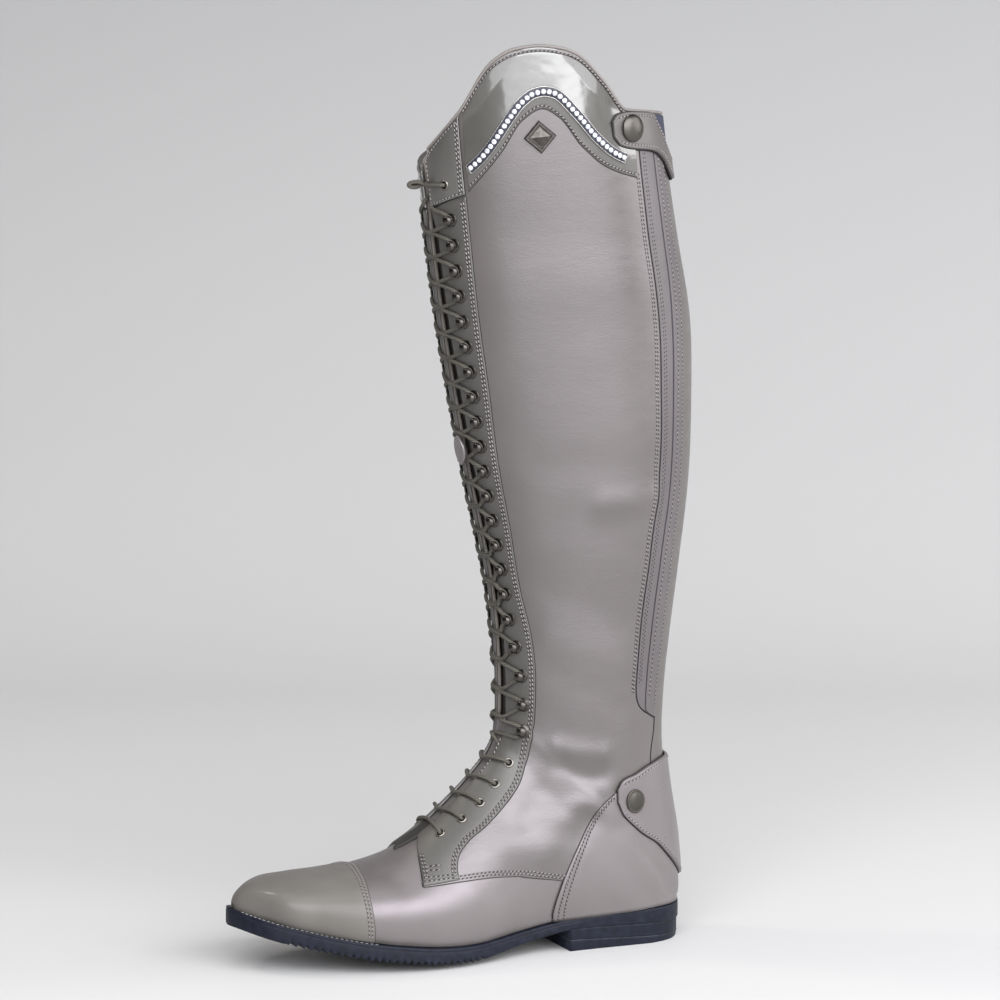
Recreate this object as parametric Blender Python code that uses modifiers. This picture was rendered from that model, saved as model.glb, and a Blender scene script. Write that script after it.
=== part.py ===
"""Lace-up riding boot, left foot. Metres, +X to the toe, +Y to the outer side, +Z up, floor at z = 0.

The upper is a sweep of sections along the last: each section runs from a point on the front line to a point
on the back line or on the sole's feather edge. A place on it is (station, turn, side): station is the distance
along the front line from the toe, turn goes from 0 at the front to 1 at the back or feather, side is +1 for
the outer side and -1 for the inner side. Sizes in the tables are in millimetres.
"""

import functools
import math

import bmesh
import bpy
import numpy as np
from mathutils import Matrix, Vector
from mathutils.bvhtree import BVHTree

MM = 0.001
ORIGIN_X = 131.4
ORIGIN_Y = 1.8

# Main sizes
LENGTH = 268.0
HEEL_ROUND = 30.0
TOE_ROUND = 22.0
ROUND_POWER = 2.1
BREAST = 77.0
WALL = 2.0
EYESTAY_THICK = 1.4
PATENT_THICK = 1.2
STRAP_THICK = 1.6
BAND_THICK = 1.0
ZIP_THICK = 0.7
GAP = 0.6
FLOAT = 0.3
SEAT_LIFT = 0.9
THROAT_STATION = 112.0
THROAT_HALF = 6.0
SHAFT_STATION = 440.0
OUTER = 1
INNER = -1

# Sole edge from the heel's back: outer and inner half widths, and how far the sole stands out of the upper
SOLE_EDGE = (
    # x, outer, inner, ledge
    (0, 28.5, 28.0, 1.2),
    (30, 29.0, 28.0, 1.2),
    (60, 29.5, 27.5, 1.4),
    (80, 30.5, 26.5, 2.0),
    (105, 34.0, 26.5, 3.0),
    (130, 40.5, 30.5, 3.6),
    (152, 45.0, 36.5, 4.0),
    (170, 45.8, 41.0, 4.0),
    (190, 43.0, 43.0, 4.0),
    (210, 37.5, 42.0, 4.0),
    (230, 29.5, 38.0, 4.0),
    (248, 20.5, 32.0, 4.0),
    (268, 8.0, 24.0, 4.0),
)
# Height of the feather line, thickness of the sole's edge under it, height of the underside in the middle
SOLE_HEIGHT = (
    # x, feather, thick, middle
    (0, 20.8, 9.4, 11.4),
    (40, 20.0, 7.8, 12.2),
    (77, 18.4, 5.9, 12.5),
    (103, 15.4, 6.3, 8.4),
    (124, 12.8, 7.4, 3.2),
    (140, 11.5, 8.6, 0.0),
    (162, 12.4, 9.2, 0.0),
    (180, 14.5, 9.2, 2.6),
    (200, 17.2, 9.2, 6.0),
    (220, 21.2, 9.3, 10.3),
    (251, 29.0, 9.5, 18.5),
    (268, 34.5, 9.6, 24.5),
)
TREAD_REACH = 9.0
WELT_DEPTH, WELT_STEP = 2.2, 0.7

# Sections of the last: front point, back point (no height: on the feather line), half width (none: from the
# sole's edge), roundness of the front and of the back
SECTIONS = (
    # front_x, front_z, back_x, back_z, half, front_power, back_power
    (263.9, 36.2, 263.9, None, None, 2.0, 2.2),
    (263.2, 38.6, 263.0, None, None, 2.0, 2.2),
    (261.2, 41.4, 260.6, None, None, 2.0, 2.3),
    (257.2, 44.4, 256.0, None, None, 2.1, 2.4),
    (247.0, 47.6, 243.5, None, 27.6, 2.2, 2.5),
    (230.0, 49.6, 225.0, None, 34.6, 2.2, 2.6),
    (210.0, 51.2, 205.0, None, 39.4, 2.15, 2.6),
    (190.0, 54.6, 184.0, None, 41.8, 2.1, 2.6),
    (172.0, 61.5, 160.0, None, 41.2, 2.0, 2.5),
    (154.0, 74.5, 135.0, None, 38.0, 1.95, 2.4),
    (138.5, 87.5, 110.0, None, 34.8, 1.95, 2.3),
    (124.8, 100.0, 85.0, None, 32.8, 1.95, 2.2),
    (115.0, 111.0, 55.0, None, 32.0, 2.0, 2.15),
    (110.2, 121.0, 28.0, None, 31.6, 2.0, 2.1),
    (108.8, 130.0, 7.0, None, 31.2, 2.0, 2.1),
    (108.2, 136.0, 1.2, None, 31.0, 2.0, 2.1),
    (108.0, 142.0, 0.8, 34.0, 31.0, 2.0, 2.1),
    (107.9, 150.0, 3.0, 58.0, 31.5, 2.0, 2.1),
    (108.0, 160.0, 8.0, 86.0, 32.6, 2.0, 2.1),
    (108.4, 172.0, 11.2, 112.0, 34.4, 2.0, 2.1),
    (109.5, 188.0, 10.6, 142.0, 36.2, 2.0, 2.1),
    (112.0, 207.0, 7.2, 175.0, 38.0, 2.0, 2.1),
    (117.0, 232.0, 2.0, 215.0, 41.0, 2.0, 2.1),
    (125.0, 268.0, -3.4, 262.0, 45.5, 2.0, 2.1),
    (133.5, 312.0, -4.8, 311.0, 49.5, 2.0, 2.1),
    (141.5, 357.0, -3.4, 357.0, 51.2, 2.0, 2.1),
    (147.2, 400.0, 4.4, 400.0, 52.2, 2.0, 2.1),
    (152.8, 445.0, 12.0, 445.0, 53.0, 2.0, 2.1),
    (158.4, 510.0, 20.0, 510.0, 53.5, 2.0, 2.1),
)
TOE_BULGE = 1.04
PANEL_FOOT = 0.91

# Station of the collar's edge round the top
COLLAR_OUTER = ((0.0, 515.0), (0.08, 523.0), (0.183, 538.9), (0.298, 567.0), (0.355, 573.0), (0.418, 574.8),
                (0.48, 573.3), (0.51, 570.6), (0.577, 556.2), (0.643, 540.2), (0.744, 539.0), (1.0, 537.5))
COLLAR_INNER = ((0.0, 508.0), (0.1, 511.5), (0.3, 520.0), (0.6, 527.5), (0.85, 535.5), (1.0, 537.5))

# Stitched edges of the panels, as (station, turn)
CAP_EDGE = ((0.0, 74.0), (0.29, 70.5), (0.58, 67.5), (1.0, 66.0))
EYESTAY_RAILS = (
    # front station, front turn (none: at the throat's edge), back station, back turn
    (97.0, 0.50, 117.5, 0.552),
    (100.5, 0.36, 119.5, 0.48),
    (105.0, 0.20, 123.5, 0.418),
    (110.8, 0.075, 131.8, 0.378),
    (121.0, None, 146.5, 0.372),
    (140.0, None, 158.8, 0.363),
    (160.0, None, 178.9, 0.322),
    (181.0, None, 191.0, 0.262),
    (202.0, None, 202.0, 0.22),
    (227.5, None, 227.5, 0.236),
    (244.3, None, 244.3, 0.226),
    (270.0, None, 270.0, 0.186),
    (310.0, None, 310.0, 0.174),
    (344.5, None, 344.5, 0.168),
    (388.3, None, 388.3, 0.173),
    (439.0, None, 439.0, 0.176),
    (485.0, None, 493.2, 0.181),
)
FRONT_CUFF_OUTER = ((486.0, None, 494.2, 0.181), (500.0, None, 515.5, 0.182), (513.8, None, 537.4, 0.183))
FRONT_CUFF_INNER = ((486.0, None, 494.2, 0.181), (497.0, None, 503.5, 0.182), (506.8, None, 514.0, 0.183))
COUNTER_FRONT = (
    # share of the way up, x, height
    (0.0, 91.0, 20.0),
    (0.22, 84.0, 34.5),
    (0.36, 80.5, 43.5),
    (0.57, 74.0, 59.0),
    (0.76, 67.5, 72.5),
    (0.92, 58.0, 84.0),
    (1.0, 51.0, 89.5),
)
COUNTER_BACK = (23.4, 94.0)
COUNTER_LIFT, COUNTER_THICK = 1.2, 1.0
HEEL_AXIS, HEEL_HALF = 46.0, 31.0
NEARLY_BACK = 0.0005
HEEL_STRAP_EDGES = (
    # turn, low station, high station
    (0.522, 206.8, 210.0),
    (0.545, 204.2, 214.0),
    (0.60, 204.6, 218.8),
    (0.70, 206.8, 225.8),
    (0.80, 206.6, 230.4),
    (0.90, 206.2, 232.6),
    (1.0, 206.0, 233.4),
)
CUFF_LOW = ((0.19, 495.9), (0.24, 505.0), (0.299, 517.8), (0.361, 535.1), (0.413, 541.1), (0.454, 536.2),
            (0.508, 519.8), (0.554, 510.4), (0.60, 506.0), (0.66, 502.8))
CRYSTAL_LINE = ((0.198, 507.4), (0.24, 514.0), (0.281, 523.2), (0.325, 535.5), (0.359, 544.3), (0.395, 549.6),
                (0.42, 550.6), (0.442, 549.7), (0.492, 539.4), (0.541, 525.2), (0.585, 517.0), (0.622, 513.4))
CRYSTAL_HALF = 2.6
# Small fittings, as (station, turn)
BADGE = (525.9, 0.40)
BADGE_SIZE = (9.0, 5.6, 2.2)
HEEL_SNAP = (211.5, 0.586)
TOP_SNAP = (530.2, 0.645)
STRAP_CLEAR = 0.5
KEEPER = (351.0, 0.0)
KEEPER_SIZE = Vector((9.0, 5.0, 0.9))
KEEPER_LIFT = 7.7
KNOT_LIFT, KNOT_TURN, KNOT_PITCH = 3.8, 4.5, 1.6
ZIP_LINES = (
    # station, front edge, zip, rear edge
    (240.5, 0.690, 0.714, 0.738),
    (246.5, 0.637, 0.684, 0.731),
    (267.0, 0.634, 0.682, 0.730),
    (301.0, 0.644, 0.696, 0.748),
    (330.0, 0.656, 0.708, 0.760),
    (378.5, 0.664, 0.715, 0.766),
    (420.0, 0.666, 0.720, 0.774),
    (454.0, 0.670, 0.734, 0.798),
    (500.0, 0.676, 0.742, 0.806),
)
ZIP_HALF, ZIP_TEETH = 0.008, 0.0058
TOP_STRAP_OUTER = (
    # turn, low station, high station
    (0.588, 525.5, 534.0),
    (0.606, 520.8, 538.0),
    (0.645, 519.0, 539.4),
    (0.7, 518.2, 539.2),
    (0.742, 517.0, 538.6),
    (0.767, 515.0, 533.4),
    (0.796, 511.5, 526.7),
    (0.824, 506.5, 520.4),
    (0.85, 502.8, 516.5),
    (0.9, 501.0, 514.0),
    (1.0, 500.5, 513.5),
)
TOP_STRAP_INNER = ((0.8, 506.0, 519.0), (0.9, 502.0, 515.0), (1.0, 500.5, 513.5))

HOOK_COUNT, HOOK_FIRST, HOOK_LAST = 21, 198.3, 480.3
# Distance of the hooks from the middle, by station
HOOK_SIDES = ((198.0, 16.4), (225.0, 16.8), (262.0, 12.8), (306.0, 14.0), (350.0, 16.0), (408.0, 18.6),
              (480.0, 19.2))
HOOK_PROFILE = ((0.0, -0.8), (2.4, -0.8), (3.6, 2.8), (0.0, 4.4))
EYELETS = ((121.5, 0.205), (136.2, 0.233), (150.1, 0.242), (163.6, 0.231), (177.4, 0.221), (499.6, 0.111))
EYELET_RADIUS, EYELET_WIRE = 2.35, 0.6
LACE_RADIUS, LACE_LIFT, LACE_SIDE = 1.1, 5.4, 9.6
STRAND_LIFT, STRAND_INSET, STRAND_SIDE, STRAND_STEP = 7.1, 2.6, 11.0, 0.6
SNAP_PROFILE = ((0.0, 0.0), (7.0, 0.0), (7.0, 1.0), (5.6, 2.6), (3.0, 3.5), (0.0, 3.8))


def smooth(x, rows, column=1):
    """A value between a table's rows that never overshoots them."""
    xs = np.array([row[0] for row in rows], float)
    ys = np.array([row[column] for row in rows], float)
    step = np.diff(xs)
    slope = np.diff(ys) / step
    tangent = np.zeros(len(xs))
    tangent[0] = slope[0]
    tangent[-1] = slope[-1]
    for i in range(1, len(xs) - 1):
        if slope[i - 1] * slope[i] > 0:
            a = 2 * step[i] + step[i - 1]
            b = step[i] + 2 * step[i - 1]
            tangent[i] = (a + b) / (a / slope[i - 1] + b / slope[i])
    return float(hermite(x, xs, ys, tangent))


def hermite(x, xs, ys, tangent):
    x = min(max(x, xs[0]), xs[-1])
    i = int(np.clip(np.searchsorted(xs, x) - 1, 0, len(xs) - 2))
    step = xs[i + 1] - xs[i]
    t = (x - xs[i]) / step
    start = (2 * t**3 - 3 * t**2 + 1) * ys[i] + (t**3 - 2 * t**2 + t) * step * tangent[i]
    return start + (3 * t**2 - 2 * t**3) * ys[i + 1] + (t**3 - t**2) * step * tangent[i + 1]


def sole_edge(x, inset=0.0):
    """Middle and half width of the sole's outline at x, moved in by inset."""
    along = min(max((x - inset) / (LENGTH - 2 * inset), 0.0), 1.0) * LENGTH
    outer = smooth(along, SOLE_EDGE, 1)
    inner = smooth(along, SOLE_EDGE, 2)
    rounded = 1.0
    if along < HEEL_ROUND:
        rounded = (1 - (1 - along / HEEL_ROUND) ** ROUND_POWER) ** (1 / ROUND_POWER)
    if along > LENGTH - TOE_ROUND:
        rounded = (1 - ((along - LENGTH + TOE_ROUND) / TOE_ROUND) ** ROUND_POWER) ** (1 / ROUND_POWER)
    return (outer - inner) / 2, max((outer + inner) / 2 - inset, 0.0) * rounded


def feather(x):
    return smooth(x, SOLE_HEIGHT, 1)


def edge_bottom(x):
    return feather(x) - smooth(x, SOLE_HEIGHT, 2)


def section_rows():
    """The section table with its feather ends filled in, and the station of each row."""
    rows = []
    station = [0.0]
    for front_x, front_z, back_x, back_z, half, front_power, back_power in SECTIONS:
        middle = 0.0
        foot = 0.0
        if back_z is None:
            middle, foot = sole_edge(back_x, smooth(back_x, SOLE_EDGE, 3))
            back_z = feather(back_x) + FLOAT + SEAT_LIFT * max(0.0, 1 - back_x / 40.0)
        if half is None:
            half = max(foot * TOE_BULGE, 0.8)
        foot = min(foot, 0.985 * half)
        rows.append((front_x, front_z, back_x, back_z, half, front_power, back_power, middle, foot))
    for a, b in zip(rows, rows[1:]):
        station.append(station[-1] + math.hypot(b[0] - a[0], b[1] - a[1]))
    return np.array(rows), np.array(station)


ROWS, STATIONS = section_rows()


def row_tangents():
    step = np.diff(STATIONS)[:, None]
    slope = np.diff(ROWS, axis=0) / step
    tangent = np.empty_like(ROWS)
    tangent[0] = slope[0]
    tangent[-1] = slope[-1]
    tangent[1:-1] = (step[1:] * slope[:-1] + step[:-1] * slope[1:]) / (step[1:] + step[:-1])
    return tangent


TANGENTS = row_tangents()


@functools.lru_cache(maxsize=None)
def section(station):
    return tuple(hermite(station, STATIONS, ROWS, TANGENTS))


def last_point(station, turn, side):
    """A place on the last's surface, in millimetres from the heel's back."""
    front_x, front_z, back_x, back_z, half, front_power, back_power, middle, foot = section(round(station, 4))
    ratio = min(max(foot / half, 0.0), 0.985)
    end = math.pi - math.asin(ratio ** (back_power / 2))
    angle = min(max(turn, 0.0), 1.0) * end
    power = front_power if angle < math.pi / 2 else back_power
    down = -math.copysign(abs(math.cos(angle)) ** (2 / power), math.cos(angle))
    lowest = abs(math.cos(end)) ** (2 / back_power)
    part = (down + 1) / (lowest + 1)
    out = half * max(math.sin(angle), 0.0) ** (2 / power)
    x = front_x + part * (back_x - front_x)
    z = front_z + part * (back_z - front_z)
    return Vector((x, middle + side * out, z))


def last_normal(station, turn, side):
    """Outward direction of the surface there."""
    low = max(turn - 0.012, 0.0)
    high = min(turn + 0.012, 1.0)
    across = last_point(station, high, side) - last_point(station, low, side)
    along = last_point(station + 1.5, turn, side) - last_point(max(station - 1.5, 0.0), turn, side)
    if turn < 0.012:
        across = last_point(station, 0.012, side) - last_point(station, 0.012, -side)
    if turn > 0.988 and station > 199.0:
        across = last_point(station, 0.988, -side) - last_point(station, 0.988, side)
    normal = along.cross(across) * -side
    return normal.normalized()


def place(station, turn, side, lift=0.0):
    """A place on the surface, lifted off it, in the frame's metres."""
    point = last_point(station, turn, side)
    if lift:
        point = point + last_normal(station, turn, side) * lift
    return world(point.x, point.y, point.z)


def world(x, y, z):
    return Vector(((x - ORIGIN_X) * MM, (y - ORIGIN_Y) * MM, z * MM))


def turn_at(station, offset):
    """The turn at which the surface is this far from the middle plane, on its front half."""
    row = section(round(station, 4))
    half, power, back_power, foot = row[4], row[5], row[6], row[8]
    ratio = min(max(foot / half, 0.0), 0.985)
    end = math.pi - math.asin(ratio ** (back_power / 2))
    return math.asin(min(offset / half, 1.0) ** (power / 2)) / end


MATERIALS = {
    # name: colour, roughness, metallic
    "leather": ((0.235, 0.21, 0.20), 0.45, 0.0),
    "panel_leather": ((0.165, 0.15, 0.142), 0.45, 0.0),
    "patent": ((0.20, 0.18, 0.17), 0.12, 0.0),
    "lining": ((0.10, 0.095, 0.09), 0.8, 0.0),
    "rubber": ((0.012, 0.013, 0.018), 0.55, 0.0),
    "cord": ((0.085, 0.08, 0.068), 0.85, 0.0),
    "metal": ((0.20, 0.185, 0.175), 0.28, 1.0),
    "stone": ((0.85, 0.85, 0.86), 0.08, 0.0),
}


def material(name):
    found = bpy.data.materials.get(name)
    if found:
        return found
    colour, roughness, metallic = MATERIALS[name]
    found = bpy.data.materials.new(name)
    found.use_nodes = True
    shader = found.node_tree.nodes["Principled BSDF"]
    shader.inputs["Base Color"].default_value = (*colour, 1.0)
    shader.inputs["Roughness"].default_value = roughness
    shader.inputs["Metallic"].default_value = metallic
    return found


def collection(name):
    """The scene's collection of that name, made on first use."""
    found = bpy.data.collections.get(name)
    if not found:
        found = bpy.data.collections.new(name)
        bpy.context.scene.collection.children.link(found)
    return found


def file_in(obj, name):
    """Moves an object from wherever it is into one collection."""
    for other in list(obj.users_collection):
        other.objects.unlink(obj)
    collection(name).objects.link(obj)


def add_object(name, mesh_data, look):
    obj = bpy.data.objects.new(name, mesh_data)
    obj.data.materials.append(material(look))
    collection("lace_up_riding_boot").objects.link(obj)
    return obj


def from_bmesh(name, form, look):
    mesh_data = bpy.data.meshes.new(name)
    form.to_mesh(mesh_data)
    form.free()
    return add_object(name, mesh_data, look)


def add_strip(form, grid, flip):
    """Faces of one grid of points. flip turns them over, as the inner side needs."""
    corners = [[form.verts.new(point) for point in row] for row in grid]
    for low, high in zip(corners, corners[1:]):
        for j in range(len(low) - 1):
            face = [low[j], low[j + 1], high[j + 1], high[j]]
            form.faces.new(face[::-1] if flip else face)
    return corners


def thicken(obj, thickness, outward):
    """Turns an open surface into a wall."""
    solidify = obj.modifiers.new("wall", "SOLIDIFY")
    solidify.thickness = thickness * MM
    solidify.offset = 1.0 if outward else -1.0
    solidify.use_even_offset = True
    solidify.use_rim = True


def shell(name, grids, thickness, look, outward=True):
    """A wall from grids of points, each with its flip, welded where they share an edge."""
    form = bmesh.new()
    for grid, flip in grids:
        add_strip(form, grid, flip)
    bmesh.ops.remove_doubles(form, verts=form.verts, dist=0.00002)
    bmesh.ops.dissolve_degenerate(form, edges=form.edges, dist=0.00002)
    obj = from_bmesh(name, form, look)
    thicken(obj, thickness, outward)
    return obj


def loft(name, sections, look):
    """A solid through closed loops of points, with flat ends."""
    form = bmesh.new()
    loops = [[form.verts.new(point) for point in loop] for loop in sections]
    count = len(loops[0])
    for low, high in zip(loops, loops[1:]):
        for j in range(count):
            k = (j + 1) % count
            form.faces.new([low[j], low[k], high[k], high[j]])
    form.faces.new(loops[0][::-1])
    form.faces.new(loops[-1])
    bmesh.ops.remove_doubles(form, verts=form.verts, dist=0.00002)
    bmesh.ops.recalc_face_normals(form, faces=form.faces)
    return from_bmesh(name, form, look)


def turned(form, profile, steps, matrix):
    """Adds a solid of revolution about the matrix's Z axis."""
    rings = []
    for radius, height in profile:
        if radius == 0.0:
            rings.append([form.verts.new(matrix @ Vector((0, 0, height * MM)))])
            continue
        ring = []
        for k in range(steps):
            angle = 2 * math.pi * k / steps
            spot = Vector((radius * math.cos(angle), radius * math.sin(angle), height))
            ring.append(form.verts.new(matrix @ (spot * MM)))
        rings.append(ring)
    for low, high in zip(rings, rings[1:]):
        for k in range(steps):
            face = [low[k % len(low)], low[(k + 1) % len(low)]]
            face += [high[(k + 1) % len(high)], high[k % len(high)]]
            form.faces.new(list(dict.fromkeys(face)))


def seat(station, turn, side, lift):
    """A frame on the surface: Z outward, X up along it."""
    normal = last_normal(station, turn, side)
    along = last_point(station + 2.0, turn, side) - last_point(station - 2.0, turn, side)
    along = (along - normal * along.dot(normal)).normalized()
    across = normal.cross(along)
    matrix = Matrix((along, across, normal)).transposed().to_4x4()
    matrix.translation = place(station, turn, side, lift)
    return matrix


def cord(name, points, radius, look, closed=False):
    """A round cord through points, as a curve with a bevel."""
    curve = bpy.data.curves.new(name, "CURVE")
    curve.dimensions = "3D"
    curve.bevel_depth = radius * MM
    curve.bevel_resolution = 0
    curve.use_fill_caps = True
    spline = curve.splines.new("POLY")
    spline.points.add(len(points) - 1)
    for spot, point in zip(spline.points, points):
        spot.co = (*point, 1.0)
    spline.use_cyclic_u = closed
    return add_object(name, curve, look)


def as_mesh(obj):
    """The same object with its curve turned into a mesh."""
    name = obj.name
    look = obj.data.materials[0].name
    graph = bpy.context.evaluated_depsgraph_get()
    mesh_data = bpy.data.meshes.new_from_object(obj.evaluated_get(graph))
    bpy.data.objects.remove(obj)
    form = bmesh.new()
    form.from_mesh(mesh_data)
    bmesh.ops.remove_doubles(form, verts=form.verts, dist=0.00001)
    bmesh.ops.recalc_face_normals(form, faces=form.faces)
    return from_bmesh(name, form, look)


def join(obj, other):
    """Adds other to obj as one solid and keeps it as a hidden helper."""
    union = obj.modifiers.new("join", "BOOLEAN")
    union.operation = "UNION"
    union.solver = "EXACT"
    union.object = other
    other.hide_render = True
    other.display_type = "WIRE"
    file_in(other, "helpers")


def build_outsole():
    """Sections across the sole: welt ledge, stepped edge, tread and a flat middle."""
    stops = [0.3, 1.2, 3.0, 6.0, 11.0, 18.0, 28.0, 46.0, 64.0, 77.0, 90.0, 102.0, 114.0, 126.0, 140.0, 151.0]
    stops += [162.0, 174.0, 188.0, 202.0, 216.0, 230.0, 242.0, 250.0, 256.0, 260.5, 264.0, 266.4, 267.7]
    sections = []
    for x in stops:
        middle, half = sole_edge(x)
        top = feather(x)
        low = edge_bottom(x)
        inner = max(half - TREAD_REACH, 0.5 * half)
        ledge = max(half - WELT_STEP, 0.4 * half)
        outline = [
            (ledge, top),
            (ledge, top - WELT_DEPTH + 0.4),
            (half, top - WELT_DEPTH),
            (half, low),
            (inner, low),
            (0.45 * half, smooth(x, SOLE_HEIGHT, 3)),
        ]
        loop = [world(x, middle + y, z) for y, z in outline]
        loop += [world(x, middle - y, z) for y, z in reversed(outline)]
        sections.append(loop)
    return loft("outsole", sections, "rubber")


def heel_outline(inset):
    spots = [inset, 1.6, 4.0, 8.0, 14.0, 22.0, 34.0, 50.0, BREAST]
    sides = [(x, *sole_edge(x, inset)) for x in spots]
    ring = [(x, middle + half) for x, middle, half in sides]
    return ring + [(x, middle - half) for x, middle, half in reversed(sides)]


def heel_layer(x):
    """Height of the joint between the heel and its top piece."""
    return 2.8 + 3.4 * x / BREAST


def build_heel():
    ring = heel_outline(0.8)
    low = [world(x, y, heel_layer(x) + FLOAT) for x, y in ring]
    high = [world(x, y, edge_bottom(x) - FLOAT) for x, y in ring]
    loft("heel", [low, high], "rubber")
    floor = [world(x, y, 0.0) for x, y in heel_outline(1.3)]
    top = [world(x, y, heel_layer(x)) for x, y in ring]
    loft("heel_top_piece", [floor, top], "rubber")


def build_insole():
    """A footbed that lies on the outsole, clear of the upper's wall."""
    stops = [8.0, 12.0, 20.0, 34.0, 55.0, 80.0, 105.0, 130.0, 155.0, 180.0, 205.0, 225.0, 240.0, 250.0, 256.0]
    sections = []
    for x in stops:
        inset = smooth(x, SOLE_EDGE, 3) + WALL + 1.9
        middle, half = sole_edge(x, inset)
        low = feather(x) + FLOAT
        loop = [(half, low), (half, low + 2.2), (0.55 * half, low + 2.8)]
        points = [world(x, middle + y, z) for y, z in loop]
        points += [world(x, middle - y, z) for y, z in reversed(loop)]
        sections.append(points)
    loft("insole", sections, "lining")


UPPER_COLUMNS = 12
FOOT_STOPS = (0.0, 2.4, 5.8, 10.6, 17.0, 26.0, 38.0, 52.0, 66.0, 80.0, 95.0, 104.0, 112.0, 124.0, 136.0,
              148.0, 160.0, 170.0, 178.0, 186.0, 193.0, 198.0, 200.3, 207.0, 214.0, 222.0, 231.0, 242.0,
              256.0, 274.0, 296.0, 322.0, 352.0, 382.0, 411.0, 440.0)
SHAFT_ROWS = 5


def collar_station(turn, side):
    return smooth(turn, COLLAR_OUTER if side == OUTER else COLLAR_INNER)


def upper_grid(side):
    grid = []
    for station in FOOT_STOPS:
        start = turn_at(station, THROAT_HALF) if station > THROAT_STATION else 0.0
        turns = [start + (1 - start) * j / UPPER_COLUMNS for j in range(UPPER_COLUMNS + 1)]
        grid.append([place(station, turn, side) for turn in turns])
    for k in range(1, SHAFT_ROWS + 1):
        row = []
        for j in range(UPPER_COLUMNS + 1):
            start = turn_at(480.0, THROAT_HALF)
            turn = start + (1 - start) * j / UPPER_COLUMNS
            station = SHAFT_STATION + (collar_station(turn, side) - SHAFT_STATION) * k / SHAFT_ROWS
            row.append(place(station, turn, side))
        grid.append(row)
    return grid


def build_upper():
    """The hollow upper: one wall, open at the collar, at the throat and underneath."""
    grids = [(upper_grid(OUTER), False), (upper_grid(INNER), True)]
    form = bmesh.new()
    ends = []
    for grid, flip in grids:
        corners = add_strip(form, grid, flip)
        ends.append(corners[0])
    form.faces.new(ends[0][::-1] + ends[1][1:])
    bmesh.ops.remove_doubles(form, verts=form.verts, dist=0.00002)
    bmesh.ops.dissolve_degenerate(form, edges=form.edges, dist=0.00002)
    obj = from_bmesh("upper", form, "leather")
    thicken(obj, WALL, outward=False)


def rail_grid(rails, side, rows, columns, lift, back):
    """A grid between two edges given as (station, turn) pairs, one pair a row."""
    grid = []
    for i in range(rows + 1):
        spot = i / rows * (len(rails) - 1)
        k = min(int(spot), len(rails) - 2)
        ends = []
        for rail in (rails[k], rails[k + 1]):
            station, turn, far_station, far_turn = rail
            if turn is None:
                turn = turn_at(station, THROAT_HALF + back)
            ends.append((station, turn, far_station, far_turn))
        part = spot - k
        station, turn, far_station, far_turn = [a + (b - a) * part for a, b in zip(*ends)]
        if rails[k][1] is None and rails[k + 1][1] is None:
            turn = turn_at(station, THROAT_HALF + back)
        row = []
        for j in range(columns + 1):
            across = j / columns
            spot = (station + (far_station - station) * across, turn + (far_turn - turn) * across)
            row.append(place(*spot, side, lift))
        grid.append(row)
    return grid


def build_eyestays():
    for side, label, cuff_rails in ((OUTER, "outer", FRONT_CUFF_OUTER), (INNER, "inner", FRONT_CUFF_INNER)):
        grid = rail_grid(EYESTAY_RAILS, side, 35, 3, GAP, 0.8)
        panel = shell("eyestay_" + label, [(grid, side == INNER)], EYESTAY_THICK, "panel_leather")
        form = bmesh.new()
        for k in range(HOOK_COUNT):
            station = hook_station(k)
            turned(form, HOOK_PROFILE, 5, seat(station, hook_turn(station), side, GAP + EYESTAY_THICK))
        bmesh.ops.recalc_face_normals(form, faces=form.faces)
        hooks = from_bmesh("hooks_" + label, form, "metal")
        join(panel, hooks)
        grid = rail_grid(cuff_rails, side, 4, 3, GAP, 0.8)
        shell("front_cuff_" + label, [(grid, side == INNER)], EYESTAY_THICK, "patent")


def hook_station(k):
    return HOOK_FIRST + (HOOK_LAST - HOOK_FIRST) * k / (HOOK_COUNT - 1)


def hook_turn(station):
    return turn_at(station, smooth(station, HOOK_SIDES))


def build_eyelets():
    for side, label in ((OUTER, "outer"), (INNER, "inner")):
        for k, (station, turn) in enumerate(EYELETS):
            lift = GAP + EYESTAY_THICK + FLOAT + EYELET_WIRE
            matrix = seat(station, turn, side, lift)
            bpy.ops.mesh.primitive_torus_add(
                major_segments=8,
                minor_segments=3,
                major_radius=EYELET_RADIUS * MM,
                minor_radius=EYELET_WIRE * MM,
            )
            ring = bpy.context.object
            ring.name = f"eyelet_{label}_{k + 1}"
            ring.matrix_world = matrix
            ring.data.materials.append(material("metal"))
            file_in(ring, "lace_up_riding_boot")


def build_toe_cap():
    """The patent cap, on the same rows and columns as the upper under it."""
    fronts = []
    stops = [stop for stop in FOOT_STOPS if stop < 60.0]
    form = bmesh.new()
    for side in (OUTER, INNER):
        grid = []
        turns = [min(j / UPPER_COLUMNS, PANEL_FOOT) for j in range(UPPER_COLUMNS + 1)]
        for station in stops:
            grid.append([place(station, turn, side, GAP) for turn in turns])
        grid.append([place(smooth(turn, CAP_EDGE), turn, side, GAP) for turn in turns])
        corners = add_strip(form, grid, side == INNER)
        fronts.append(corners[0])
    form.faces.new(fronts[0][::-1] + fronts[1][1:])
    bmesh.ops.remove_doubles(form, verts=form.verts, dist=0.00002)
    bmesh.ops.dissolve_degenerate(form, edges=form.edges, dist=0.00002)
    obj = from_bmesh("toe_cap", form, "patent")
    thicken(obj, PATENT_THICK, outward=True)


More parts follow.
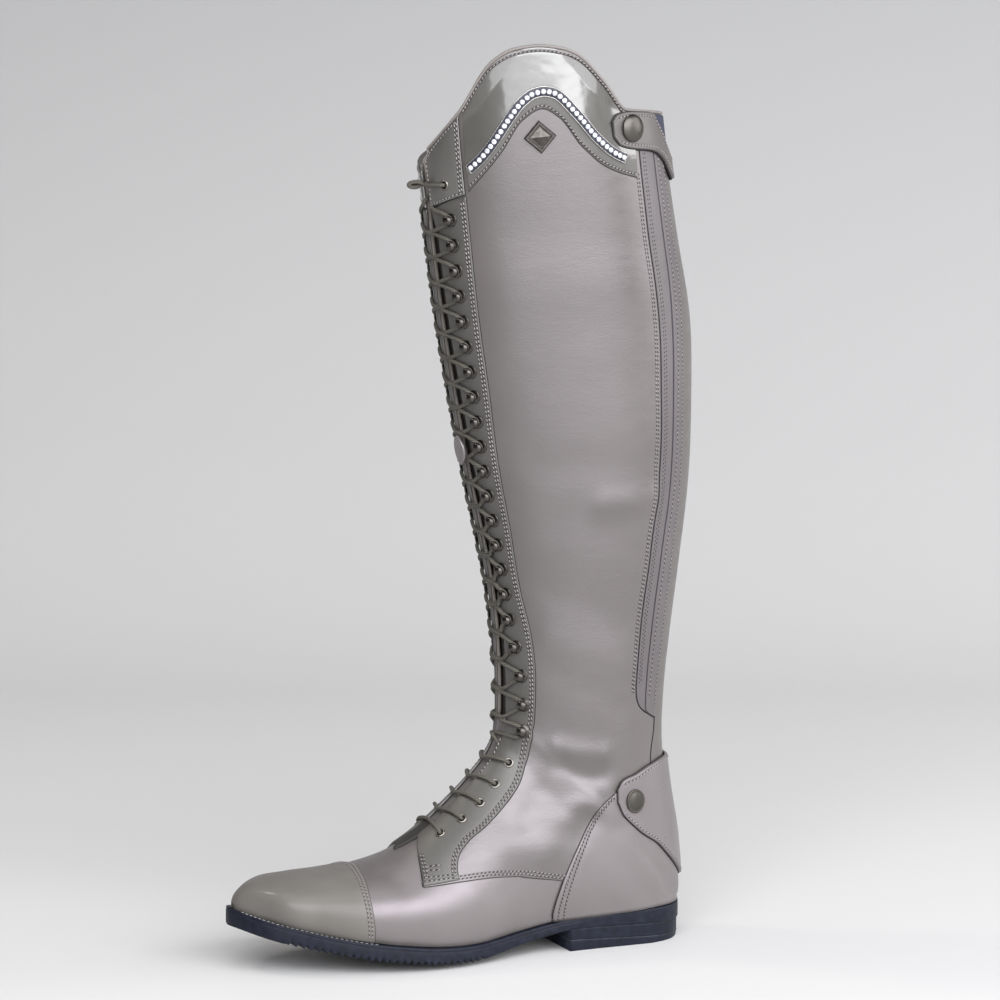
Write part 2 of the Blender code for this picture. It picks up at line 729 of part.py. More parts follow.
def heel_tree():
    """The heel of the last as a fine mesh to cast rays at."""
    points = []
    faces = []
    columns = 60
    stations = [150.0 + 1.25 * i for i in range(80)]
    for side in (OUTER, INNER):
        for i, station in enumerate(stations):
            for j in range(columns + 1):
                k = len(points)
                points.append(place(station, j / columns, side))
                if i and j:
                    faces.append((k, k - 1, k - columns - 2, k - columns - 1))
    return BVHTree.FromPolygons(points, faces)


def build_counter():
    """The heel counter: rays from the heel's middle find the last's wall at each angle and height."""
    tree = heel_tree()
    grids = []
    columns, rows = 10, 6
    low, high = COUNTER_BACK
    for side in (OUTER, INNER):
        grid = []
        for j in range(rows + 1):
            up = j / rows
            front_height = smooth(up, COUNTER_FRONT, 2)
            front_angle = math.atan2(HEEL_HALF, smooth(up, COUNTER_FRONT, 1) - HEEL_AXIS)
            row = []
            for i in range(columns + 1):
                back = i / columns
                angle = front_angle + (math.pi - NEARLY_BACK - front_angle) * back
                height = front_height + (low + (high - low) * up - front_height) * back
                direction = Vector((math.cos(angle), side * math.sin(angle), 0.0))
                spot, normal, _, _ = tree.ray_cast(world(HEEL_AXIS, 0.0, height), direction)
                if normal.dot(direction) < 0:
                    normal = -normal
                row.append(spot + normal * COUNTER_LIFT * MM)
            row[-1].y = world(0.0, 0.0, 0.0).y
            grid.append(row)
        grids.append((grid, side == INNER))
    shell("counter", grids, COUNTER_THICK, "leather")


def edge_grid(edges, side, columns, rows, lift):
    """A grid between a low and a high edge, given as (turn, low station, high station)."""
    first = edges[0][0]
    last = edges[-1][0]
    grid = []
    for i in range(columns + 1):
        turn = first + (last - first) * i / columns
        low = smooth(turn, edges, 1)
        high = smooth(turn, edges, 2)
        grid.append([place(low + (high - low) * j / rows, turn, side, lift) for j in range(rows + 1)])
    return grid


def build_heel_strap():
    lift = COUNTER_LIFT + COUNTER_THICK + STRAP_CLEAR
    grids = []
    for side in (OUTER, INNER):
        grids.append((edge_grid(HEEL_STRAP_EDGES, side, 9, 3, lift), side == OUTER))
    shell("heel_strap", grids, STRAP_THICK, "leather")
    form = bmesh.new()
    turned(form, SNAP_PROFILE, 12, seat(*HEEL_SNAP, OUTER, lift + STRAP_THICK + GAP))
    bmesh.ops.recalc_face_normals(form, faces=form.faces)
    from_bmesh("heel_snap", form, "metal")


def build_cuff():
    """The patent arch along the outer collar, the stone band on it and the stud under it."""
    grid = []
    for i in range(21):
        turn = 0.191 + (0.655 - 0.191) * i / 20
        low = smooth(turn, CUFF_LOW)
        high = collar_station(turn, OUTER) - 1.0
        grid.append([place(low + (high - low) * j / 3, turn, OUTER, GAP) for j in range(4)])
    shell("cuff", [(grid, True)], PATENT_THICK, "patent")
    lift = GAP + PATENT_THICK + FLOAT
    grid = []
    for i in range(25):
        turn = 0.203 + (0.618 - 0.203) * i / 24
        ends = [(t, smooth(t, CRYSTAL_LINE)) for t in (turn - 0.004, turn + 0.004)]
        centre = last_point(smooth(turn, CRYSTAL_LINE), turn, OUTER)
        ahead = last_point(ends[1][1], ends[1][0], OUTER) - last_point(ends[0][1], ends[0][0], OUTER)
        normal = last_normal(smooth(turn, CRYSTAL_LINE), turn, OUTER)
        across = normal.cross(ahead.normalized())
        row = []
        for part in (-1.0, 0.0, 1.0):
            spot = centre + across * (part * CRYSTAL_HALF) + normal * lift
            row.append(world(spot.x, spot.y, spot.z))
        grid.append(row)
    shell("crystal_band", [(grid, True)], PATENT_THICK, "stone")
    wide, narrow, deep = (size * MM for size in BADGE_SIZE)
    bpy.ops.mesh.primitive_cone_add(vertices=4, radius1=wide, radius2=narrow, depth=deep)
    stud = bpy.context.object
    stud.name = "badge"
    stud.matrix_world = seat(*BADGE, OUTER, FLOAT + BADGE_SIZE[2] / 2)
    stud.data.materials.append(material("metal"))
    file_in(stud, "lace_up_riding_boot")


def build_zip():
    """Two stretch bands and the closed zip between them, on the outer back of the shaft."""
    for name, low, high, near, far, columns, thick, look in (
        ("zip_band_front", 1, 2, 0.0, -ZIP_HALF, 2, BAND_THICK, "panel_leather"),
        ("zip_band_rear", 2, 3, ZIP_HALF, 0.0, 2, BAND_THICK, "panel_leather"),
        ("zip", 2, 2, -ZIP_TEETH, ZIP_TEETH, 1, ZIP_THICK, "metal"),
    ):
        grid = []
        first = ZIP_LINES[0][0]
        for i in range(22):
            station = first + (ZIP_LINES[-1][0] - first) * (i / 21) ** 1.25
            start = smooth(station, ZIP_LINES, low) + near
            end = smooth(station, ZIP_LINES, high) + far
            turns = [start + (end - start) * j / columns for j in range(columns + 1)]
            grid.append([place(station, turn, OUTER, GAP) for turn in turns])
        shell(name, [(grid, False)], thick, look)


def build_top_strap():
    lift = GAP + PATENT_THICK + STRAP_CLEAR
    grids = []
    for side, edges in ((OUTER, TOP_STRAP_OUTER), (INNER, TOP_STRAP_INNER)):
        columns = 16 if side == OUTER else 6
        grids.append((edge_grid(edges, side, columns, 2, lift), side == OUTER))
    shell("top_strap", grids, STRAP_THICK, "patent")
    form = bmesh.new()
    turned(form, SNAP_PROFILE, 12, seat(*TOP_SNAP, OUTER, lift + STRAP_THICK + GAP))
    bmesh.ops.recalc_face_normals(form, faces=form.faces)
    from_bmesh("top_snap", form, "metal")


def build_tongue():
    """A long tongue behind the throat, from under the vamp to the collar."""
    stops = [100.0 + 404.0 * i / 25 for i in range(26)]
    grids = []
    for side in (OUTER, INNER):
        grid = []
        for station in stops:
            widest = turn_at(station, 20.0)
            grid.append([place(station, widest * j / 2, side, -(WALL + 1.4)) for j in range(3)])
        grids.append((grid, side == INNER))
    shell("tongue", grids, 2.0, "lining", outward=False)


def lace_spot(station, side, lift=LACE_LIFT):
    return place(station, turn_at(station, LACE_SIDE), side, lift)


def hook_spot(k, side, lift):
    """Where a strand turns back, on the head of a hook or short of it where the hooks stand wide."""
    station = hook_station(k)
    offset = min(smooth(station, HOOK_SIDES) - STRAND_INSET, STRAND_SIDE)
    return place(station, turn_at(station, offset), side, lift)


def build_lace():
    """Bars over the foot eyelets and crossings up the hooks, joined where they meet."""
    bars = []
    for k, (station, _) in enumerate(EYELETS[:5]):
        side = OUTER if k % 2 else INNER
        bars += [lace_spot(station, side), lace_spot(station, -side)]
    under = [hook_spot(k, INNER if k % 2 else OUTER, STRAND_LIFT) for k in range(HOOK_COUNT)]
    over = [hook_spot(k, OUTER if k % 2 else INNER, STRAND_LIFT + STRAND_STEP) for k in range(HOOK_COUNT)]
    lace = as_mesh(cord("lace", bars + under, LACE_RADIUS, "cord"))
    join(lace, as_mesh(cord("lace_strand", over, LACE_RADIUS, "cord")))


def build_lace_knot():
    """The tied end at the top eyelets: a bar with one small loop in front."""
    station = EYELETS[5][0]
    ends = [lace_spot(station, side, KNOT_LIFT) for side in (OUTER, INNER)]
    centre = (ends[0] + ends[1]) / 2
    turns = 8
    points = [ends[0]]
    for k in range(turns + 1):
        angle = 2 * math.pi * k / turns
        ahead = KNOT_TURN * (1 - math.cos(angle))
        points.append(centre + Vector((ahead, KNOT_PITCH * (turns / 2 - k), KNOT_TURN * math.sin(angle))) * MM)
    points.append(ends[1])
    cord("lace_knot", points, LACE_RADIUS, "cord")


def build_keeper():
    """A leaf of leather over the lacing."""
    form = bmesh.new()
    bmesh.ops.create_uvsphere(form, u_segments=10, v_segments=6, radius=1.0)
    bmesh.ops.scale(form, vec=KEEPER_SIZE * MM, verts=form.verts)
    bmesh.ops.transform(form, matrix=seat(*KEEPER, OUTER, KEEPER_LIFT), verts=form.verts)
    from_bmesh("lace_keeper", form, "leather")


for old in list(bpy.data.objects):
    bpy.data.objects.remove(old)
build_outsole()
build_heel()
build_insole()
build_upper()
build_tongue()
build_toe_cap()
build_eyestays()
build_eyelets()
build_counter()
build_heel_strap()
build_cuff()
build_zip()
build_top_strap()
build_lace()
build_lace_knot()
build_keeper()
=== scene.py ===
"""Looks of the lace-up riding boot: fine meshes for every visible piece, materials, studio and camera."""

import functools
import math

import bmesh
import bpy
import numpy as np
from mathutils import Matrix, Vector
from mathutils.bvhtree import BVHTree


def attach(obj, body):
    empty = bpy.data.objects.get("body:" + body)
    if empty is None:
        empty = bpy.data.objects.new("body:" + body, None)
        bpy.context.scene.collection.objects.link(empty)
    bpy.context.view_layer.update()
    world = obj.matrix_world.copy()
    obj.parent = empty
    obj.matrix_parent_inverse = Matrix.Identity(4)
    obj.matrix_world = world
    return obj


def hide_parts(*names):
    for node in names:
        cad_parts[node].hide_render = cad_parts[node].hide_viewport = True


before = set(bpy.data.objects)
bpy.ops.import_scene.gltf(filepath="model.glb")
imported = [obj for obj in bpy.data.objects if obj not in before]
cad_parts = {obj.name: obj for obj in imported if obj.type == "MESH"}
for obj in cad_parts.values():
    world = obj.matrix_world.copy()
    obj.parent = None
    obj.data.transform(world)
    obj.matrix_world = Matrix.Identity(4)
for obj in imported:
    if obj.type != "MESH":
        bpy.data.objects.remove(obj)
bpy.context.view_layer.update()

# Sizes in millimetres, as in the part's source
MM = 0.001
ORIGIN_X, ORIGIN_Y = 131.4, 1.8
LENGTH, HEEL_ROUND, TOE_ROUND, ROUND_POWER = 268.0, 30.0, 22.0, 2.1
BREAST = 77.0
WALL = 2.0
FLOAT = 0.3
SEAT_LIFT, SEAT_REACH = 0.9, 40.0
THROAT_STATION, THROAT_HALF = 112.0, 6.0
TOE_BULGE, LEAST_HALF = 1.04, 0.8
OUTER, INNER = 1, -1
# The largest share of a section's half width that its foot may have
FOOT_SHARE = 0.985
# Steps over which the surface's normal is measured, and the station below which it has a feather edge
TURN_STEP, STATION_STEP, FOOT_TOP = 0.012, 1.5, 201.5

# Heights of the layers over the last
SKIN = 0.8
CAP_TOP = 1.15
EYESTAY_TOP = 1.7
COUNTER_TOP = 1.75
CUFF_TOP = 1.5
STRAP_BASE, STRAP_THICK = 1.9, 1.9

SOLE_EDGE = (
    # x, outer, inner, ledge
    (0, 28.5, 28.0, 1.2),
    (30, 29.0, 28.0, 1.2),
    (60, 29.5, 27.5, 1.4),
    (80, 30.5, 26.5, 2.0),
    (105, 34.0, 26.5, 3.0),
    (130, 40.5, 30.5, 3.6),
    (152, 45.0, 36.5, 4.0),
    (170, 45.8, 41.0, 4.0),
    (190, 43.0, 43.0, 4.0),
    (210, 37.5, 42.0, 4.0),
    (230, 29.5, 38.0, 4.0),
    (248, 20.5, 32.0, 4.0),
    (268, 8.0, 24.0, 4.0),
)
SOLE_HEIGHT = (
    # x, feather, thick, middle
    (0, 20.8, 9.4, 11.4),
    (40, 20.0, 7.8, 12.2),
    (77, 18.4, 5.9, 12.5),
    (103, 15.4, 6.3, 8.4),
    (124, 12.8, 7.4, 3.2),
    (140, 11.5, 8.6, 0.0),
    (162, 12.4, 9.2, 0.0),
    (180, 14.5, 9.2, 2.6),
    (200, 17.2, 9.2, 6.0),
    (220, 21.2, 9.3, 10.3),
    (251, 29.0, 9.5, 18.5),
    (268, 34.5, 9.6, 24.5),
)
SECTIONS = (
    # front_x, front_z, back_x, back_z, half, front_power, back_power
    (263.9, 36.2, 263.9, None, None, 2.0, 2.2),
    (263.2, 38.6, 263.0, None, None, 2.0, 2.2),
    (261.2, 41.4, 260.6, None, None, 2.0, 2.3),
    (257.2, 44.4, 256.0, None, None, 2.1, 2.4),
    (247.0, 47.6, 243.5, None, 27.6, 2.2, 2.5),
    (230.0, 49.6, 225.0, None, 34.6, 2.2, 2.6),
    (210.0, 51.2, 205.0, None, 39.4, 2.15, 2.6),
    (190.0, 54.6, 184.0, None, 41.8, 2.1, 2.6),
    (172.0, 61.5, 160.0, None, 41.2, 2.0, 2.5),
    (154.0, 74.5, 135.0, None, 38.0, 1.95, 2.4),
    (138.5, 87.5, 110.0, None, 34.8, 1.95, 2.3),
    (124.8, 100.0, 85.0, None, 32.8, 1.95, 2.2),
    (115.0, 111.0, 55.0, None, 32.0, 2.0, 2.15),
    (110.2, 121.0, 28.0, None, 31.6, 2.0, 2.1),
    (108.8, 130.0, 7.0, None, 31.2, 2.0, 2.1),
    (108.2, 136.0, 1.2, None, 31.0, 2.0, 2.1),
    (108.0, 142.0, 0.8, 34.0, 31.0, 2.0, 2.1),
    (107.9, 150.0, 3.0, 58.0, 31.5, 2.0, 2.1),
    (108.0, 160.0, 8.0, 86.0, 32.6, 2.0, 2.1),
    (108.4, 172.0, 11.2, 112.0, 34.4, 2.0, 2.1),
    (109.5, 188.0, 10.6, 142.0, 36.2, 2.0, 2.1),
    (112.0, 207.0, 7.2, 175.0, 38.0, 2.0, 2.1),
    (117.0, 232.0, 2.0, 215.0, 41.0, 2.0, 2.1),
    (125.0, 268.0, -3.4, 262.0, 45.5, 2.0, 2.1),
    (133.5, 312.0, -4.8, 311.0, 49.5, 2.0, 2.1),
    (141.5, 357.0, -3.4, 357.0, 51.2, 2.0, 2.1),
    (147.2, 400.0, 4.4, 400.0, 52.2, 2.0, 2.1),
    (152.8, 445.0, 12.0, 445.0, 53.0, 2.0, 2.1),
    (158.4, 510.0, 20.0, 510.0, 53.5, 2.0, 2.1),
)
# Lines on the surface, by turn (0 the front middle, 1 the back middle) and station (distance up the front)
COLLAR_OUTER = ((0.0, 515.0), (0.08, 523.0), (0.183, 538.9), (0.298, 567.0), (0.355, 573.0), (0.418, 574.8),
                (0.48, 573.3), (0.51, 570.6), (0.577, 556.2), (0.643, 540.2), (0.744, 539.0), (1.0, 537.5))
COLLAR_INNER = ((0.0, 508.0), (0.1, 511.5), (0.3, 520.0), (0.6, 527.5), (0.85, 535.5), (1.0, 537.5))
CAP_EDGE = ((0.0, 74.0), (0.29, 70.5), (0.58, 67.5), (1.0, 66.0))
QUARTER_SEAM = ((97.0, 0.505), (118.0, 0.567), (135.1, 0.624), (162.3, 0.760), (175.0, 0.84), (200.3, 1.0))
FLAP_FRONT = ((97.0, 0.48), (100.5, 0.36), (105.0, 0.20), (112.0, 0.06))
# The station over which the eyestay's front edge follows the throat
EYESTAY_FREE = 121.0
EYESTAY_RAILS = (
    # front station, front turn (none: at the throat's edge), back station, back turn
    (97.0, 0.50, 117.5, 0.552),
    (100.5, 0.36, 119.5, 0.48),
    (105.0, 0.20, 123.5, 0.418),
    (110.8, 0.075, 131.8, 0.378),
    (121.0, None, 146.5, 0.372),
    (140.0, None, 158.8, 0.363),
    (160.0, None, 179.0, 0.322),
    (175.0, None, 189.0, 0.283),
    (184.0, None, 195.0, 0.250),
    (191.0, None, 198.0, 0.229),
    (198.0, None, 200.6, 0.2165),
    (204.0, None, 205.7, 0.222),
    (213.7, None, 213.7, 0.228),
    (227.5, None, 227.5, 0.234),
    (238.3, None, 238.3, 0.231),
    (250.0, None, 250.0, 0.219),
    (270.0, None, 270.0, 0.186),
    (310.0, None, 310.0, 0.174),
    (344.5, None, 344.5, 0.168),
    (388.3, None, 388.3, 0.173),
    (439.0, None, 439.0, 0.176),
    (485.0, None, 493.2, 0.181),
)
FRONT_CUFF_OUTER = ((486.0, None, 494.2, 0.181), (500.0, None, 515.5, 0.182), (513.8, None, 537.4, 0.183))
FRONT_CUFF_INNER = ((486.0, None, 494.2, 0.181), (497.0, None, 503.5, 0.182), (506.8, None, 514.0, 0.183))
COUNTER_FRONT = (
    # share of the way up, x, height
    (0.0, 91.0, 18.8),
    (0.22, 84.0, 34.5),
    (0.36, 80.5, 43.5),
    (0.57, 74.0, 59.0),
    (0.76, 67.5, 72.5),
    (0.92, 58.0, 84.0),
    (1.0, 51.0, 89.5),
)
COUNTER_BACK = (22.4, 94.0)
# Rays from the heel's axis find the counter: axis x, half width there, angle short of the back, retry step
HEEL_AXIS, HEEL_HALF, NEARLY_BACK, RAY_STEP = 46.0, 31.0, 0.0005, 0.4
# Scuffs on the counter: station, turn
SCUFFS = ((197.9, 0.604), (200.6, 0.600), (204.2, 0.634))
HEEL_STRAP_EDGES = (
    # turn, low station, high station
    (0.522, 206.8, 210.0),
    (0.545, 204.2, 214.0),
    (0.60, 204.6, 218.8),
    (0.70, 206.8, 225.8),
    (0.80, 206.6, 230.4),
    (0.90, 206.2, 232.6),
    (1.0, 206.0, 233.4),
)
CUFF_TURNS = (0.191, 0.66)
# How far the cuff leans out, by distance above the stones
CUFF_LEAN = ((-10.0, -0.3), (-2.0, 0.5), (3.0, 0.9), (26.0, -0.7))
CUFF_LOW = ((0.19, 495.9), (0.24, 505.0), (0.299, 517.8), (0.361, 535.1), (0.413, 541.1), (0.454, 536.2),
            (0.508, 519.8), (0.554, 510.4), (0.60, 506.0), (0.66, 502.8))
CRYSTAL_LINE = ((0.198, 507.4), (0.24, 514.0), (0.281, 523.2), (0.325, 535.5), (0.359, 544.3), (0.395, 549.6),
                (0.42, 550.6), (0.442, 549.7), (0.492, 539.4), (0.541, 525.2), (0.585, 517.0), (0.622, 513.4))
CRYSTAL_HALF, CRYSTAL_TURNS = 2.6, (0.203, 0.618)
STONE_PITCH, STONE_LIFT, STONE_SPIN = 3.25, 0.45, 0.35
BADGE = (525.9, 0.40)
HEEL_SNAP = (211.5, 0.586)
TOP_SNAP = (530.2, 0.645)
ZIP_LINES = (
    # station, front edge, zip, rear edge
    (241.8, 0.700, 0.715, 0.750),
    (242.2, 0.664, 0.692, 0.751),
    (243.0, 0.650, 0.688, 0.752),
    (245.1, 0.639, 0.687, 0.754),
    (248.5, 0.634, 0.686, 0.757),
    (267.0, 0.634, 0.688, 0.768),
    (301.0, 0.644, 0.696, 0.768),
    (330.0, 0.656, 0.708, 0.770),
    (378.5, 0.664, 0.715, 0.770),
    (420.0, 0.666, 0.720, 0.774),
    (454.0, 0.670, 0.734, 0.798),
    (500.0, 0.676, 0.742, 0.806),
    (530.0, 0.680, 0.746, 0.810),
)
ZIP_TOP = 1.25
# The seam round the zip panel's foot, and the one that goes on below it: station, turn
ZIP_FOOT = ((248.5, 0.633), (245.1, 0.638), (243.0, 0.649), (242.1, 0.663), (241.7, 0.684), (241.6, 0.718),
            (241.6, 0.752))
ZIP_TAIL = ((242.0, 0.757), (237.4, 0.751), (232.2, 0.728), (226.8, 0.710), (220.0, 0.700))
TOP_STRAP_EDGES = (
    # turn, low station, high station; over 1 on the inner side
    (0.588, 525.5, 534.0),
    (0.606, 520.8, 538.0),
    (0.645, 519.0, 539.4),
    (0.7, 518.2, 539.2),
    (0.742, 517.0, 538.6),
    (0.767, 515.0, 533.4),
    (0.796, 511.5, 526.7),
    (0.824, 506.5, 520.4),
    (0.85, 502.8, 516.5),
    (0.9, 501.0, 514.0),
    (1.0, 500.5, 513.5),
    (1.1, 502.0, 515.0),
    (1.2, 506.0, 519.0),
)
# The elastic behind the top strap: turns, how far it tucks in, its top edge and that edge's fall
ELASTIC_TURNS, ELASTIC_TUCK, ELASTIC_TOP, ELASTIC_FALL = (0.735, 1.2), 3.0, 538.0, 3.0
HOOK_COUNT, HOOK_FIRST, HOOK_LAST = 21, 198.3, 480.3
HOOK_SIDES = ((198.0, 16.4), (225.0, 16.8), (262.0, 12.8), (306.0, 14.0), (350.0, 16.0), (408.0, 18.6),
              (480.0, 19.2))
EYELETS = ((121.5, 0.205), (136.2, 0.233), (150.1, 0.242), (163.6, 0.231), (177.4, 0.221), (499.6, 0.111))
FOOT_EYELETS = 5
# How much farther from the middle the hooks of the inner side are
INNER_HOOK, INNER_HOOK_SHARE = 4.0, 0.5
LACE_RADIUS, LACE_SIDE = 1.1, 6.8
# How far the bars of the foot eyelets sag towards the toe
BAR_DROP = (-1.0, 5.5, 6.5, 7.0, 7.5)
# How far the eyestays' front edges stand back from the throat's edge, by station
EYESTAY_BACK = ((0.0, -1.2), (183.5, -1.2), (188.0, 1.8), (470.0, 1.8), (484.0, -1.8), (600.0, -1.8))
# The lace keeper: its station, half width, half length, distance aside, and its lift
KEEPER_STATION, KEEPER_SIZE, KEEPER_LIFT = 351.0, (5.2, 8.5, 2.0), 4.6
# The tongue: lowest and highest station, half width
TONGUE = (100.0, 504.0, 20.0)

# Soft ridges and troughs of the leather: two ends on the outer side, width and height
CREASES = (
    # station, turn, station, turn, width, height
    (206.0, 0.315, 218.0, 0.487, 5.5, 1.5),
    (198.5, 0.345, 209.5, 0.468, 4.8, -1.5),
    (208.0, 0.488, 192.2, 0.528, 6.5, 1.4),
    (192.2, 0.528, 181.6, 0.578, 7.0, 1.3),
    (205.5, 0.520, 190.0, 0.600, 6.0, -0.6),
    (190.0, 0.600, 181.5, 0.660, 6.0, -0.6),
    (178.5, 0.430, 165.5, 0.480, 7.0, -1.1),
    (150.3, 0.520, 166.0, 0.640, 9.0, 1.3),
    (236.0, 0.300, 238.0, 0.560, 8.0, -0.6),
    (252.0, 0.300, 256.0, 0.560, 9.0, 0.5),
    (276.0, 0.300, 270.0, 0.560, 10.0, -0.5),
    (300.0, 0.300, 296.0, 0.600, 12.0, 0.5),
    (325.0, 0.483, 328.0, 0.624, 8.0, 1.5),
    (344.0, 0.300, 346.0, 0.600, 10.0, -0.5),
    (392.0, 0.300, 386.0, 0.620, 16.0, -0.5),
    (440.0, 0.280, 446.0, 0.600, 16.0, 0.4),
    (474.0, 0.300, 470.0, 0.620, 14.0, -0.4),
    (82.0, 0.560, 120.0, 0.680, 11.0, 0.8),
    (84.0, 0.740, 132.0, 0.790, 13.0, 1.3),
    (84.0, 0.250, 88.0, 0.480, 7.0, -0.4),
)


@functools.lru_cache(maxsize=None)
def monotone(rows, column):
    """A table's column with slopes that never overshoot."""
    xs = np.array([row[0] for row in rows], float)
    ys = np.array([row[column] for row in rows], float)
    step = np.diff(xs)
    slope = np.diff(ys) / step
    tangent = np.zeros(len(xs))
    tangent[0] = slope[0]
    tangent[-1] = slope[-1]
    for i in range(1, len(xs) - 1):
        if slope[i - 1] * slope[i] > 0:
            a = 2 * step[i] + step[i - 1]
            b = step[i] + 2 * step[i - 1]
            tangent[i] = (a + b) / (a / slope[i - 1] + b / slope[i])
    return xs, ys, tangent


def hermite(x, xs, ys, tangent):
    x = np.clip(x, xs[0], xs[-1])
    i = np.clip(np.searchsorted(xs, x) - 1, 0, len(xs) - 2)
    step = xs[i + 1] - xs[i]
    t = (x - xs[i]) / step
    if ys.ndim > 1:
        step = np.asarray(step)[..., None]
        t = np.asarray(t)[..., None]
    start = (2 * t**3 - 3 * t**2 + 1) * ys[i] + (t**3 - 2 * t**2 + t) * step * tangent[i]
    return start + (3 * t**2 - 2 * t**3) * ys[i + 1] + (t**3 - t**2) * step * tangent[i + 1]


def smooth(x, rows, column=1):
    return hermite(np.asarray(x, float), *monotone(rows, column))


def sole_edge(x, inset=0.0):
    """Middle and half width of the sole's outline at x, moved in by inset."""
    along = np.clip((np.asarray(x, float) - inset) / (LENGTH - 2 * inset), 0.0, 1.0) * LENGTH
    outer = smooth(along, SOLE_EDGE, 1)
    inner = smooth(along, SOLE_EDGE, 2)
    heel = np.clip(1 - along / HEEL_ROUND, 0.0, 1.0)
    toe = np.clip((along - LENGTH + TOE_ROUND) / TOE_ROUND, 0.0, 1.0)
    rounded = (1 - heel**ROUND_POWER) ** (1 / ROUND_POWER) * (1 - toe**ROUND_POWER) ** (1 / ROUND_POWER)
    return (outer - inner) / 2, np.maximum((outer + inner) / 2 - inset, 0.0) * rounded


def feather(x):
    return smooth(x, SOLE_HEIGHT, 1)


def edge_bottom(x):
    return feather(x) - smooth(x, SOLE_HEIGHT, 2)


def section_rows():
    """The section table with its feather ends filled in, and the station of each row."""
    rows = []
    station = [0.0]
    for front_x, front_z, back_x, back_z, half, front_power, back_power in SECTIONS:
        middle = 0.0
        foot = 0.0
        if back_z is None:
            middle, foot = sole_edge(back_x, smooth(back_x, SOLE_EDGE, 3))
            back_z = feather(back_x) + FLOAT + SEAT_LIFT * max(0.0, 1 - back_x / SEAT_REACH)
        if half is None:
            half = max(foot * TOE_BULGE, LEAST_HALF)
        foot = min(foot, FOOT_SHARE * half)
        rows.append((front_x, front_z, back_x, back_z, half, front_power, back_power, middle, foot))
    for a, b in zip(rows, rows[1:]):
        station.append(station[-1] + math.hypot(b[0] - a[0], b[1] - a[1]))
    return np.array(rows, float), np.array(station)


ROWS, STATIONS = section_rows()


def row_tangents():
    step = np.diff(STATIONS)[:, None]
    slope = np.diff(ROWS, axis=0) / step
    tangent = np.empty_like(ROWS)
    tangent[0] = slope[0]
    tangent[-1] = slope[-1]
    tangent[1:-1] = (step[1:] * slope[:-1] + step[:-1] * slope[1:]) / (step[1:] + step[:-1])
    return tangent


TANGENTS = row_tangents()


def last_point(station, around):
    """Places on the last, in millimetres. around is the turn: below 0, or over 1, on the inner side."""
    station, around = np.broadcast_arrays(np.asarray(station, float), np.asarray(around, float))
    row = np.moveaxis(hermite(station, STATIONS, ROWS, TANGENTS), -1, 0)
    front_x, front_z, back_x, back_z, half, front_power, back_power, middle, foot = row
    side = np.where(around < 0, -1.0, 1.0)
    turn = np.abs(around)
    side = np.where(turn > 1, -side, side)
    turn = np.where(turn > 1, 2 - turn, turn)
    ratio = np.clip(foot / half, 0.0, FOOT_SHARE)
    end = np.pi - np.arcsin(ratio ** (back_power / 2))
    angle = turn * end
    power = np.where(angle < np.pi / 2, front_power, back_power)
    cosine = np.cos(angle)
    down = -np.sign(cosine) * np.abs(cosine) ** (2 / power)
    lowest = np.abs(np.cos(end)) ** (2 / back_power)
    part = (down + 1) / (lowest + 1)
    out = half * np.maximum(np.sin(angle), 0.0) ** (2 / power)
    x = front_x + part * (back_x - front_x)
    z = front_z + part * (back_z - front_z)
    return np.stack([x, middle + side * out, z], -1)


def unit(v):
    return v / np.maximum(np.linalg.norm(v, axis=-1, keepdims=True), 1e-9)


def last_normal(station, around):
    station, around = np.broadcast_arrays(np.asarray(station, float), np.asarray(around, float))
    low = around - TURN_STEP
    high = around + TURN_STEP
    foot = station < FOOT_TOP
    high = np.where(foot, np.minimum(high, 1.0), high)
    low = np.where(foot, np.maximum(low, -1.0), low)
    across = last_point(station, high) - last_point(station, low)
    behind = last_point(np.maximum(station - STATION_STEP, 0.0), around)
    along = last_point(station + STATION_STEP, around) - behind
    return unit(np.cross(across, along))


def crease(points):
    """Height of the leather's soft ridges and troughs at these places."""
    height = np.zeros(points.shape[:-1])
    for station, turn, far_station, far_turn, width, size in CREASES:
        steps = np.linspace(0, 1, 7)
        line = last_point(station + (far_station - station) * steps, turn + (far_turn - turn) * steps)
        near = np.full(points.shape[:-1], 1e9)
        for a, b in zip(line, line[1:]):
            along = b - a
            part = np.clip((points - a) @ along / (along @ along), 0.0, 1.0)
            near = np.minimum(near, np.linalg.norm(points - a - part[..., None] * along, axis=-1))
        height = height + size * np.exp(-((near / width) ** 2))
    return height


def surface(station, around, lift=0.0):
    """Places on the boot, lifted off the last, in millimetres."""
    points = last_point(station, around)
    rise = np.asarray(lift) + crease(points)
    return points + last_normal(station, around) * rise[..., None]


def turn_at(station, offset):
    """The turn at which the surface is this far from the middle plane, on its front half."""
    row = np.moveaxis(hermite(np.asarray(station, float), STATIONS, ROWS, TANGENTS), -1, 0)
    half, power, back_power, foot = row[4], row[5], row[6], row[8]
    ratio = np.clip(foot / half, 0.0, FOOT_SHARE)
    end = np.pi - np.arcsin(ratio ** (back_power / 2))
    return np.arcsin(np.minimum(offset / half, 1.0) ** (power / 2)) / end


def to_world(points):
    return (points - np.array([ORIGIN_X, ORIGIN_Y, 0.0])) * MM


# Materials


def new_look(name, rough, metallic=0.0, **sockets):
    look = bpy.data.materials.new(name)
    look.use_nodes = True
    shader = look.node_tree.nodes["Principled BSDF"]
    shader.inputs["Roughness"].default_value = rough
    shader.inputs["Metallic"].default_value = metallic
    for socket, value in sockets.items():
        shader.inputs[socket.replace("_", " ")].default_value = value
    return look


